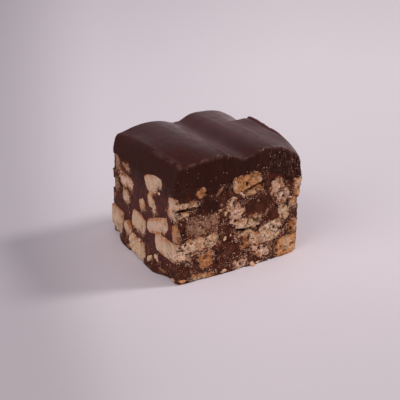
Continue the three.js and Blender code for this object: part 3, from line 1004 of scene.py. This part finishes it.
def fill_inputs(tree, node, inputs):
    """Gives a node's inputs values, or links them to sockets. A colour is red, green and blue."""
    for key, value in inputs.items():
        socket = node.inputs[key]
        if isinstance(value, bpy.types.NodeSocket):
            tree.links.new(value, socket)
        else:
            socket.default_value = (*value, 1.0) if socket.type == "RGBA" else value


def add_node(tree, kind, inputs, output=0, **settings):
    """Adds a node of a kind with its settings and inputs, and returns one of its outputs."""
    node = tree.nodes.new(kind)
    for key, value in settings.items():
        setattr(node, key, value)
    fill_inputs(tree, node, inputs)
    return node.outputs[output]


def new_material(name):
    """A material and its tree, with the object's own coordinates to lay patterns in."""
    material = bpy.data.materials.new(name)
    material.use_nodes = True
    add_node(material.node_tree, "ShaderNodeTexCoord", {})
    return material, material.node_tree


def set_shader(tree, inputs):
    """Fills the Principled shader's inputs. Cocoa butter, flour and paper all bend light by about 1.45.

    The specular levels lie below the usual 0.5, because crumbs and pores swallow mirror light."""
    fill_inputs(tree, tree.nodes["Principled BSDF"], {"IOR": 1.45, **inputs})


def pattern_place(tree, size_mm):
    """The inputs that lay a pattern in the object's coordinates with its lumps or cells size_mm across."""
    place = tree.nodes["Texture Coordinate"].outputs["Object"]
    return {"Vector": place, "Scale": 1 / (size_mm * MM)}


def span(value, start, end, low=0.0, high=1.0):
    """The inputs of a Map Range node that takes the value's stretch from start to end to low to high."""
    return {"Value": value, "From Min": start, "From Max": end, "To Min": low, "To Max": high}


SMOOTH = {"interpolation_type": "SMOOTHSTEP"}  # a Map Range node's setting that eases both ends
COLOUR_MIX = {"data_type": "RGBA"}
# Where a Mix node of colours has its share and its two colours, and its mixed colour among its outputs.
SHARE, UNDER, OVER, MIXED = 0, 6, 7, 2


def grain(tree, size_mm, detail=2.0, stretch=None):
    """Noise from 0 to 1 whose lumps are size_mm across, drawn out along an axis where stretch is small."""
    inputs = pattern_place(tree, size_mm)
    if stretch:
        drawn_out = {"Vector": inputs["Vector"], "Scale": stretch}
        inputs["Vector"] = add_node(tree, "ShaderNodeMapping", drawn_out)
    return add_node(tree, "ShaderNodeTexNoise", {**inputs, "Detail": detail})


def mottle(tree, size_mm, start, end, low=0.0, high=1.0, detail=2.0, stretch=None):
    """Soft patches: low where that grain is below start, high where it is above end."""
    noisy = grain(tree, size_mm, detail, stretch)
    return add_node(tree, "ShaderNodeMapRange", span(noisy, start, end, low, high), **SMOOTH)


def crumb_cells(tree, size_mm):
    """Grains round dots scattered size_mm apart: each grain's own number from 0 to 1, and the distances to
    its border and to its dot, in grains."""
    inputs = pattern_place(tree, size_mm)
    tint = add_node(tree, "ShaderNodeTexVoronoi", inputs, "Color")
    own = add_node(tree, "ShaderNodeSeparateColor", {"Color": tint}, "Red")
    border = add_node(tree, "ShaderNodeTexVoronoi", inputs, "Distance", feature="DISTANCE_TO_EDGE")
    return own, border, tint.node.outputs["Distance"]


def read_attributes(tree, *names):
    """The piece's vertex attributes as numbers, in the order of their names."""
    return [add_node(tree, "ShaderNodeAttribute", {}, "Fac", attribute_name=name) for name in names]


def product(tree, first, *others):
    """All the numbers multiplied together."""
    for other in others:
        first = add_node(tree, "ShaderNodeMath", {0: first, 1: other}, operation="MULTIPLY")
    return first


def cover(tree, under, over, *shares):
    """One colour laid over another, as strongly as the product of the shares says."""
    inputs = {SHARE: product(tree, *shares), UNDER: under, OVER: over}
    return add_node(tree, "ShaderNodeMix", inputs, MIXED, **COLOUR_MIX)


def toned(colour, by):
    """A colour with its linear values multiplied by one number, or each by its own."""
    return tuple(float(c) for c in np.multiply(colour, by))


SHEEN = (1.0, 0.7, 0.86)  # cocoa butter bloom gives the skin's mirror light a plum cast
PLUM = (1.0, 0.45, 0.5)  # and a deeper one at a glancing angle
# What couverture is multiplied by on the left cut, where the knife has smeared it, and on the front cut.
SIDE_WALL, FRONT_WALL = (1.15, 1.9, 2.1), (0.9, 1.33, 1.3)
DRAG_MARK = linear("#5e4038")  # crumbs smeared down the torn zone
EMBER = linear("#6a2a33")  # the torn lip, thin enough for light to pass
EDGE_HIGHLIGHT_AND_SCUFF = linear("#7c5d55")  # pale along the top's front edge and by its left edge: painted highlight, partly scuffs


def set_chocolate(colours):
    """Dark chocolate couverture, poured and set, then cut: a satin skin on top and dull, dragged walls."""
    material, tree = new_material("set_dark_chocolate")
    cut, front, torn, lip, rim, bloom = read_attributes(tree, "cut", "front", "torn", "lip", "rim", "bloom")
    base = tuple(colours.couverture)
    side, face = toned(base, SIDE_WALL), toned(base, FRONT_WALL)
    streaks = grain(tree, 0.5, 3, (1, 1, 0.12))
    streaked = add_node(tree, "ShaderNodeMapRange", span(streaks, 0.35, 0.65), **SMOOTH)
    skin = cover(tree, toned(base, 0.9), toned(base, 1.18), mottle(tree, 5, 0.35, 0.65))
    side = cover(tree, toned(side, 0.92), toned(side, 1.08), streaked)
    face = cover(tree, toned(face, 0.88), toned(face, 1.14), streaked)
    colour = cover(tree, skin, cover(tree, side, face, front), cut)
    marks = mottle(tree, 0.5, 0.46, 0.64, 0, 0.65, stretch=(1, 1, 0.2))
    colour = cover(tree, colour, DRAG_MARK, torn, marks)
    colour = cover(tree, colour, EMBER, lip, mottle(tree, 2.4, 0.35, 0.6, 0.3, 0.9))
    # A painted highlight, partly pale scuffs, along the top's front edge and by its left edge.
    colour = cover(tree, colour, EDGE_HIGHLIGHT_AND_SCUFF, rim, mottle(tree, 1.5, 0.4, 0.65, 0.06, 0.36, detail=3))

    smooth = mottle(tree, 3, 0.3, 0.7, 0.27, 0.38, detail=3)
    dull = add_node(tree, "ShaderNodeMath", {0: cut, 1: 0.22, 2: smooth}, operation="MULTIPLY_ADD")
    dragged = add_node(tree, "ShaderNodeMath", {0: cut, 1: 0.35, 2: torn}, operation="MULTIPLY_ADD")
    height = {0: grain(tree, 0.7), 1: 0.05, 2: product(tree, dragged, streaks)}
    height = add_node(tree, "ShaderNodeMath", height, operation="MULTIPLY_ADD")
    normal = add_node(tree, "ShaderNodeBump", {"Height": height, "Distance": 0.16 * MM, "Strength": 1.0})
    mirror = add_node(tree, "ShaderNodeMapRange", span(cut, 0, 1, 0.45, 0.03), **SMOOTH)
    velvet = add_node(tree, "ShaderNodeMapRange", span(cut, 0, 1, 0.16, 0), **SMOOTH)
    shader = {
        "Base Color": colour,
        "Roughness": dull,
        "Specular IOR Level": product(tree, mirror, bloom),
        "Specular Tint": SHEEN,
        "Sheen Weight": product(tree, velvet, bloom),
        "Sheen Tint": PLUM,
        "Sheen Roughness": 0.45,
        "Normal": normal,
    }
    set_shader(tree, shader)
    return material


DEEP_MIX, SMEARED_MIX = (0.48, 0.38, 0.5), (0.78, 0.62, 0.8)  # the filling's two tones where a cut is clean
COCOA_HALO = linear("#6e321f")  # redder chocolate round a shard
DUST_SHADE = 0.66  # crumb dust lies in chocolate, and so is darker than the crumb
CRACK_PAINTED_SHADE = 0.08  # what the filling's colour is multiplied by deep in a crack: painted shade


def chocolate_mix(colours):
    """Cocoa, butter and biscuit dust pressed together and cut: dull brown with pale specks of crumb."""
    material, tree = new_material("chocolate_crumb_mix")
    names = ("crumbly", "broken", "upper", "near", "dusting", "crack")
    crumbly, broken, upper, near, dusting, crack = read_attributes(tree, *names)
    base, topping = tuple(colours.mix), tuple(colours.couverture)
    lumps = mottle(tree, 2.2, 0.36, 0.64, detail=3)
    smooth = cover(tree, toned(base, DEEP_MIX), toned(base, SMEARED_MIX), lumps)
    rough = cover(tree, toned(base, 0.44), toned(base, 0.78), lumps)
    opened = add_node(tree, "ShaderNodeMapRange", span(broken, 0.2, 0.7), **SMOOTH)
    colour = cover(tree, smooth, rough, opened)
    skirt = cover(tree, toned(topping, SIDE_WALL), toned(topping, FRONT_WALL), broken)
    smeared = add_node(tree, "ShaderNodeMapRange", span(upper, 0, 1, 0, 0.95), **SMOOTH)
    colour = cover(tree, colour, skirt, smeared)
    colour = cover(tree, colour, COCOA_HALO, near, mottle(tree, 2.4, 0.5, 0.66, 0, 0.8))
    # Flour-fine dust would be too small to see, so it is drawn about 0.4 mm wide.
    close = add_node(tree, "ShaderNodeMapRange", span(near, 0.25, 1, 0, 0.1), **SMOOTH)
    dust = add_node(tree, "ShaderNodeMath", {0: grain(tree, 0.36), 1: close}, operation="ADD")
    drifts = mottle(tree, 2.6, 0.4, 0.66, -0.06, 0.05)
    dust = add_node(tree, "ShaderNodeMath", {0: dust, 1: drifts}, operation="ADD")
    specks = add_node(tree, "ShaderNodeMapRange", span(dust, 0.61, 0.73), **SMOOTH)
    thick = add_node(tree, "ShaderNodeMapRange", span(dusting, 0, 1, 0.08, 0.95), **SMOOTH)
    colour = cover(tree, colour, toned(tuple(colours.rosy), DUST_SHADE), specks, thick)
    # Painted shade deep in the cracks.
    colour = cover(tree, colour, toned(base, CRACK_PAINTED_SHADE), crack)

    rise = add_node(tree, "ShaderNodeMapRange", span(crumbly, 0, 1, 0.25, 1), **SMOOTH)
    height = product(tree, grain(tree, 0.5, 3), rise)
    normal = add_node(tree, "ShaderNodeBump", {"Height": height, "Distance": 0.3 * MM, "Strength": 1.0})
    gloss = add_node(tree, "ShaderNodeMapRange", span(broken, 0.2, 0.7, 0.18, 0.06), **SMOOTH)
    matt = add_node(tree, "ShaderNodeMapRange", span(upper, 0, 1, 1, 0.3), **SMOOTH)
    shader = {
        "Base Color": colour,
        "Roughness": mottle(tree, 1.1, 0.3, 0.7, 0.5, 0.75),
        "Specular IOR Level": product(tree, gloss, matt),
        "Normal": normal,
    }
    set_shader(tree, shader)
    return material


CRUMB_MM = 0.6  # the grains of a tea biscuit's crumb
LIT = (1.13, 1.2, 1.32)  # a tone times this is a painted highlight on the high points of a broken crumb face
SHADED = (0.47, 0.38, 0.30)  # and times this is painted shade in its hollows, which also hold cocoa
BROWN_PATCH, PALE_PATCH = linear("#bb844f"), linear("#dcc2a6")  # where a broken face is baked more or less
BUTTERY, PINKISH = linear("#d0b083"), linear("#dfb8ab")  # the two casts of a clean face
HOLLOW_SHADE_AND_COCOA = linear("#43251a")  # dark in holes, seams and flecks: painted shade in the hollows, and cocoa
BAKED_RIM = linear("#ad653a")
# Each tone of biscuit: how much chocolate is rubbed over it, and how strongly its baked patches show.
TONES = {
    "golden": (0.02, 0.5),
    "cream": (0.05, 0.5),
    "rosy": (0.07, 0.45),
    "toasted": (0.05, 0.4),
    "dusty": (0.17, 0.1),
}


def broken_crumb(tree, tone, lump, own, patch):
    """The colour of a broken face: painted light and shade, lump by lump, between lit and shaded tones;
    baked unevenly.
    """
    shade = {0: own, 1: 0.3, 2: grain(tree, 0.9, 4)}
    shade = add_node(tree, "ShaderNodeMath", shade, operation="MULTIPLY_ADD")
    lump = add_node(tree, "ShaderNodeMapRange", span(lump, 0, 1, -0.14, 0.14), **SMOOTH)
    shade = add_node(tree, "ShaderNodeMath", {0: shade, 1: lump}, operation="ADD")
    # Painted light and shade: each lump lies between a shaded and a lit copy of its tone.
    high = add_node(tree, "ShaderNodeMapRange", span(shade, 0.4, 0.76), **SMOOTH)
    colour = cover(tree, toned(tone, SHADED), toned(tone, LIT), high)
    colour = cover(tree, colour, BROWN_PATCH, mottle(tree, 2.6, 0.5, 0.62, 0, patch, detail=1))
    return cover(tree, colour, PALE_PATCH, mottle(tree, 3.7, 0.5, 0.62, 0, patch, detail=1))


def clean_crumb(tree, tone):
    """The colour of a face that the knife cut clean: even, with buttery and pinkish patches, and cooler."""
    colour = cover(tree, toned(tone, 0.96), toned(tone, 1.08), mottle(tree, 0.45, 0.34, 0.66, detail=3))
    colour = cover(tree, colour, BUTTERY, mottle(tree, 3.1, 0.36, 0.62, 0, 0.55, detail=1))
    pinkish = mottle(tree, 2.5, 0.4, 0.62, 0, 0.55, detail=1, stretch=(1, 1.3, 1))
    colour = cover(tree, colour, PINKISH, pinkish)
    inputs = {SHARE: 1.0, UNDER: colour, OVER: COOL}
    return add_node(tree, "ShaderNodeMix", inputs, MIXED, blend_type="MULTIPLY", **COLOUR_MIX)


def biscuit(name, tone, colours, smear, patch):
    """Dry tea biscuit, baked and broken: a pale crumb in lumps, some browner than others, with painted
    light on them and painted shade in their hollows, and painted shade and cocoa in the seams, holes and
    flecks between them and in its cracks, and a browned skin at its baked faces. Chocolate is rubbed over
    it from the edges inwards and down the way that the knife drags it, and crumb dust over the chocolate."""
    material, tree = new_material(name)
    names = ("crumbly", "lump", "toast", "pore", "edge", "drag", "crack")
    crumbly, lump, toast, pore, edge, drag, crack = read_attributes(tree, *names)
    own, border, dot = crumb_cells(tree, CRUMB_MM)
    chocolate = tuple(colours.mix)
    crumb = cover(tree, clean_crumb(tree, tone), broken_crumb(tree, tone, lump, own, patch), crumbly)
    crumb = cover(tree, crumb, tuple(colours.toasted), toast, mottle(tree, 1.7, 0.34, 0.62, 0.1, 0.9))

    # Seams, dots, flecks and pores are darkened: painted shade in the crumb's hollows, and cocoa in them.
    seam = add_node(tree, "ShaderNodeMapRange", span(border, 0.1, 0.02, 0, 0.3), **SMOOTH)
    pin = add_node(tree, "ShaderNodeMapRange", span(dot, 0.4, 0.2, 0, 0.85), **SMOOTH)
    seam = add_node(tree, "ShaderNodeMath", {0: seam, 1: pin}, operation="MAXIMUM")
    seam = product(tree, seam, crumbly, mottle(tree, 1.1, 0.4, 0.62))
    fleck = product(tree, mottle(tree, 0.38, 0.57, 0.65, 0, 0.6), crumbly)
    hollow = add_node(tree, "ShaderNodeMath", {0: seam, 1: fleck}, operation="MAXIMUM")
    hollow = add_node(tree, "ShaderNodeMath", {0: hollow, 1: pore}, operation="MAXIMUM")
    crumb = cover(tree, crumb, HOLLOW_SHADE_AND_COCOA, hollow)

    rim = add_node(tree, "ShaderNodeMapRange", span(edge, 0.4, 1, 0, 0.7), **SMOOTH)
    clean = add_node(tree, "ShaderNodeMapRange", span(crumbly, 0, 1, 1, 0.5), **SMOOTH)
    crumb = cover(tree, crumb, BAKED_RIM, rim, clean, mottle(tree, 2.3, 0.44, 0.58, detail=1))
    crumb = cover(tree, crumb, toned(chocolate, 0.7), drag, mottle(tree, 0.55, 0.5, 0.58, 0, 0.8, detail=3))
    edge = add_node(tree, "ShaderNodeMapRange", span(edge, 0.5, 1, 0, 0.16), **SMOOTH)
    wipe = {0: edge, 1: crumbly, 2: grain(tree, 1.3, 3)}
    wipe = add_node(tree, "ShaderNodeMath", wipe, operation="MULTIPLY_ADD")
    wipe = add_node(tree, "ShaderNodeMath", {0: crumbly, 1: 0.04, 2: wipe}, operation="MULTIPLY_ADD")
    covered = add_node(tree, "ShaderNodeMapRange", span(wipe, 0.74 - smear, 0.82 - smear), **SMOOTH)
    colour = cover(tree, crumb, toned(chocolate, 0.8), covered)
    dust = mottle(tree, 0.4, 0.54, 0.64, 0, 4 * smear)
    colour = cover(tree, colour, toned(tuple(colours.cream), 0.8), dust, crumbly)
    # Painted shade deep in the cracks.
    colour = cover(tree, colour, toned(chocolate, CRACK_PAINTED_SHADE), crack)

    height = {0: seam, 1: -0.8, 2: grain(tree, 0.45, 3)}
    height = add_node(tree, "ShaderNodeMath", height, operation="MULTIPLY_ADD")
    normal = add_node(tree, "ShaderNodeBump", {"Height": height, "Distance": 0.2 * MM, "Strength": 1.0})
    dull = add_node(tree, "ShaderNodeMapRange", span(covered, 0, 1, 0.86, 0.6), **SMOOTH)
    shader = {"Base Color": colour, "Roughness": dull, "Specular IOR Level": 0.08, "Normal": normal}
    set_shader(tree, shader)
    return material


def loose_crumb(name, grain_mm):
    """Broken bits of biscuit and chocolate, each in its own tint, dry and dull."""
    material, tree = new_material(name)
    tint = add_node(tree, "ShaderNodeAttribute", {}, "Color", attribute_name="tint")
    cocoa = mottle(tree, grain_mm, 0.35, 0.65)
    colour = cover(tree, tint, linear("#6b4637"), cocoa, 0.45)
    relief = {"Height": grain(tree, grain_mm), "Distance": 0.15 * MM, "Strength": 1.0}
    normal = add_node(tree, "ShaderNodeBump", relief)
    shader = {"Base Color": colour, "Roughness": 0.85, "Specular IOR Level": 0.12, "Normal": normal}
    set_shader(tree, shader)
    return material


# ---------------------------------------------------------------- operators


def cake_block():
    """The block's form from the scene's sizes."""
    return Block(bpy.context.scene.cake_sizes)


def tone_table():
    """The linear colours of the biscuit tones and the filling by name."""
    colours = bpy.context.scene.cake_colours
    return {name: tuple(getattr(colours, name)) for name in (*TONES, "mix")}


class CAKE_OT_topping(bpy.types.Operator):
    """Make the chocolate topping in place of its solid"""

    bl_idname = "cake.topping"
    bl_label = "Chocolate topping"

    def execute(self, context):
        sizes = context.scene.cake_sizes
        points, faces, attributes = shape_topping(cake_block(), sizes.left_round / MM)
        piece = add_mesh("chocolate_topping", points, faces, attributes)
        piece.data.materials.append(set_chocolate(context.scene.cake_colours))
        hang(piece, "topping", "topping")
        return {"FINISHED"}


class CAKE_OT_filling(bpy.types.Operator):
    """Make the filling with its frayed pockets, and the loose crumbs on its walls"""

    bl_idname = "cake.filling"
    bl_label = "Filling and crumbs"

    def execute(self, context):
        sizes = context.scene.cake_sizes
        block = cake_block()
        shards = read_shards(block)
        shape = shape_filling(block, shards, sizes.cell / MM, sizes.pocket / MM)
        points, faces, attributes, surface = shape
        piece = add_mesh("chocolate_filling", points, faces, attributes)
        piece.data.materials.append(chocolate_mix(context.scene.cake_colours))
        hang(piece, "filling", "filling")
        tones = tone_table()
        crumbs = add_mesh("loose_crumbs", *shape_crumbs(block, surface, tones, sizes.crumbs), smooth=False)
        crumbs.data.materials.append(loose_crumb("loose_crumb", 0.4))
        hang(crumbs, "cream")
        specks = shape_specks(block, sizes.left_round / MM, tones)
        specks = add_mesh("topping_specks", *specks, smooth=False)
        specks.data.materials.append(crumbs.data.materials[0])
        hang(specks, "cream")
        return {"FINISHED"}


class CAKE_OT_shards(bpy.types.Operator):
    """Make every broken biscuit shard in place of its solid"""

    bl_idname = "cake.shards"
    bl_label = "Biscuit shards"

    def execute(self, context):
        block = cake_block()
        colours = context.scene.cake_colours
        tones = tone_table()
        finishes = {name: biscuit(f"{name}_biscuit", tones[name], colours, *TONES[name]) for name in TONES}
        for shard in read_shards(block):
            points, faces, attributes = shape_shard(shard, block)
            piece = add_mesh(f"{shard.name}_crumb", points, faces, attributes)
            piece.data.materials.append(finishes[shard.slot])
            hang(piece, shard.slot, shard.name)
        return {"FINISHED"}


class CAKE_OT_chips(bpy.types.Operator):
    """Make the small biscuit chips between the shards"""

    bl_idname = "cake.chips"
    bl_label = "Biscuit chips"

    def execute(self, context):
        block = cake_block()
        piece = add_mesh("biscuit_chips", *shape_chips(block, read_shards(block), tone_table()))
        piece.data.materials.append(loose_crumb("chip_biscuit", 0.6))
        hang(piece, "rosy")
        return {"FINISHED"}


# ---------------------------------------------------------------- stage


FOCAL_MM, SENSOR_MM = 54.0, 36.0
CAMERA_PLACE = (-73.44, -137.87, 93.0)  # from the block's front left bottom corner
CAMERA_YAW, CAMERA_PITCH = math.radians(30.655), math.radians(22.694)  # right of straight back, and down
FLOOR_SIDE = 4.0  # metres
FAN_APEX = 0.187  # metres from the cake's middle towards the camera, where the floor's bands of light meet
ROOM_BRIGHT_SIDE = (0.35, -0.8, 0.35)
ROOM_DIM, ROOM_BRIGHT, ROOM_HORIZON = 0.12, 0.64, 0.335
LAMP_TARGET = Vector((0, 0, 0.018))  # the middle of the cake


def aim(thing, place, target):
    """Puts a lamp or camera at a place and turns it to look at a target, both in metres."""
    thing.location = place
    thing.rotation_euler = (Vector(target) - Vector(place)).to_track_quat("-Z", "Y").to_euler()


def add_lamp(name, kind, azimuth, height, distance, colour):
    """A lamp at an azimuth and a height in degrees and a distance in metres from the cake, aimed at it."""
    data = bpy.data.lights.new(name, kind)
    data.color = colour
    lamp = bpy.data.objects.new(name, data)
    bpy.context.scene.collection.objects.link(lamp)
    turn, rise = math.radians(azimuth), math.radians(height)
    way = Vector((math.cos(turn) * math.cos(rise), math.sin(turn) * math.cos(rise), math.sin(rise)))
    aim(lamp, LAMP_TARGET + way * distance, LAMP_TARGET)
    return data


def add_lights():
    """A window far off to the right, as an even light 12 degrees wide, and a weak soft box on the left."""
    window = add_lamp("window_key", "SUN", azimuth=-18.8, height=38.5, distance=1, colour=(1, 0.995, 0.985))
    window.angle, window.energy = math.radians(12), 1.36
    softbox = add_lamp("left_fill", "AREA", azimuth=-170, height=35, distance=0.9, colour=(1, 0.99, 0.985))
    softbox.size, softbox.energy = 0.7, 3.0


def add_camera(scene):
    """A camera with a slightly long lens, looking down on the corner between the left and front cuts."""
    data = bpy.data.cameras.new("camera")
    data.lens, data.sensor_width = FOCAL_MM, SENSOR_MM
    data.clip_start, data.clip_end = 0.01, 20
    camera = bpy.data.objects.new("camera", data)
    scene.collection.objects.link(camera)
    place = Vector((np.array(CAMERA_PLACE) + BLOCK_CORNER) * MM)
    level = math.cos(CAMERA_PITCH)
    forward = (math.sin(CAMERA_YAW) * level, math.cos(CAMERA_YAW) * level, -math.sin(CAMERA_PITCH))
    aim(camera, place, place + Vector(forward))
    scene.camera = camera


def matt_paper():
    """Pale matt paper with painted light and shade: darker to the left in a fan from the camera's side,
    palest far on the right, and a little darker near the camera. X and Y are turned to run across the
    view and away."""
    material, tree = new_material("matt_paper")
    place = {"Vector": tree.nodes["Texture Coordinate"].outputs["Object"], "Rotation": (0, 0, CAMERA_YAW)}
    turned = add_node(tree, "ShaderNodeMapping", place)
    x = add_node(tree, "ShaderNodeSeparateXYZ", {"Vector": turned}, "X")
    y = x.node.outputs["Y"]
    away = add_node(tree, "ShaderNodeMath", {0: y, 1: FAN_APEX}, operation="ADD")
    away = add_node(tree, "ShaderNodeMath", {0: away, 1: 0.05}, operation="MAXIMUM")
    fan = add_node(tree, "ShaderNodeMath", {0: x, 1: away}, operation="DIVIDE")
    left = add_node(tree, "ShaderNodeMapRange", span(fan, -0.36, -0.15), **SMOOTH)
    far = add_node(tree, "ShaderNodeMapRange", span(y, 0.03, 0.35), **SMOOTH)
    right = add_node(tree, "ShaderNodeMapRange", span(fan, -0.2, 0.2), **SMOOTH)
    near = add_node(tree, "ShaderNodeMapRange", span(y, 0, -0.09), **SMOOTH)
    near_left = add_node(tree, "ShaderNodeMapRange", span(fan, -0.4, 0, 0.9, 0.4), **SMOOTH)
    # The paper's painted light and shade: darker to the left and near the camera, palest far on the right.
    colour = cover(tree, linear("#bab1b8"), linear("#e0d6dd"), left)
    colour = cover(tree, colour, cover(tree, linear("#e6dce2"), linear("#eee5ea"), far), right)
    colour = cover(tree, colour, linear("#b8aeb4"), near, near_left)
    set_shader(tree, {"Base Color": colour, "Roughness": 0.8, "Specular IOR Level": 0.1})
    return material


def add_floor(scene):
    """A level floor of pale paper."""
    corners = np.array([[-1, -1, 0], [1, -1, 0], [1, 1, 0], [-1, 1, 0]]) * FLOOR_SIDE / 2
    mesh = bpy.data.meshes.new("floor")
    mesh.from_pydata(corners.tolist(), [], [(0, 1, 2, 3)])
    mesh.materials.append(matt_paper())
    floor = bpy.data.objects.new("floor", mesh)
    scene.collection.objects.link(floor)


def add_room(scene):
    """A pale room: bright behind the camera and to its right, dim beyond the cake, and glowing low down."""
    world = bpy.data.worlds.new("room")
    world.use_nodes = True
    tree = world.node_tree
    way = add_node(tree, "ShaderNodeTexCoord", {}, "Generated")
    bright = {0: way, 1: Vector(ROOM_BRIGHT_SIDE).normalized()}
    towards = add_node(tree, "ShaderNodeVectorMath", bright, "Value", operation="DOT_PRODUCT")
    level = add_node(tree, "ShaderNodeMapRange", span(towards, -1, 1, ROOM_DIM, ROOM_BRIGHT))
    height = add_node(tree, "ShaderNodeSeparateXYZ", {"Vector": way}, "Z")
    glow = add_node(tree, "ShaderNodeMapRange", span(height, 0.05, 0.42, ROOM_HORIZON, 0), **SMOOTH)
    strength = add_node(tree, "ShaderNodeMath", {0: level, 1: glow}, operation="ADD")
    fill_inputs(tree, tree.nodes["Background"], {"Color": linear("#fdf7fb"), "Strength": strength})
    scene.world = world


class CAKE_OT_stage(bpy.types.Operator):
    """Set up the floor, the soft light and the camera"""

    bl_idname = "cake.stage"
    bl_label = "Floor, light and camera"

    def execute(self, context):
        add_camera(context.scene)
        add_floor(context.scene)
        add_room(context.scene)
        add_lights()
        context.scene.view_settings.view_transform = "Standard"
        return {"FINISHED"}


class CAKE_PT_panel(bpy.types.Panel):
    """The cake's pieces and settings in the sidebar"""

    bl_idname = "CAKE_PT_panel"
    bl_label = "Lazy Cake"
    bl_space_type = "VIEW_3D"
    bl_region_type = "UI"
    bl_category = "Lazy Cake"

    def draw(self, context):
        for operator in OPERATORS:
            self.layout.operator(operator.bl_idname)
        for settings in (context.scene.cake_sizes, context.scene.cake_colours):
            for name in settings.bl_rna.properties.keys():
                if name not in ("rna_type", "name"):
                    self.layout.prop(settings, name)


OPERATORS = (CAKE_OT_stage, CAKE_OT_topping, CAKE_OT_filling, CAKE_OT_shards, CAKE_OT_chips)
CLASSES = (CakeSizes, CakeColours, *OPERATORS, CAKE_PT_panel)


def register():
    """Adds the cake's classes and settings to Blender."""
    for each in CLASSES:
        bpy.utils.register_class(each)
    bpy.types.Scene.cake_sizes = bpy.props.PointerProperty(type=CakeSizes)
    bpy.types.Scene.cake_colours = bpy.props.PointerProperty(type=CakeColours)


def unregister():
    """Takes them out again, in the opposite order."""
    del bpy.types.Scene.cake_colours
    del bpy.types.Scene.cake_sizes
    for each in reversed(CLASSES):
        bpy.utils.unregister_class(each)


def main():
    register()
    for operator in OPERATORS:
        group, name = operator.bl_idname.split(".")
        getattr(getattr(bpy.ops, group), name)()


if __name__ == "__main__":
    main()
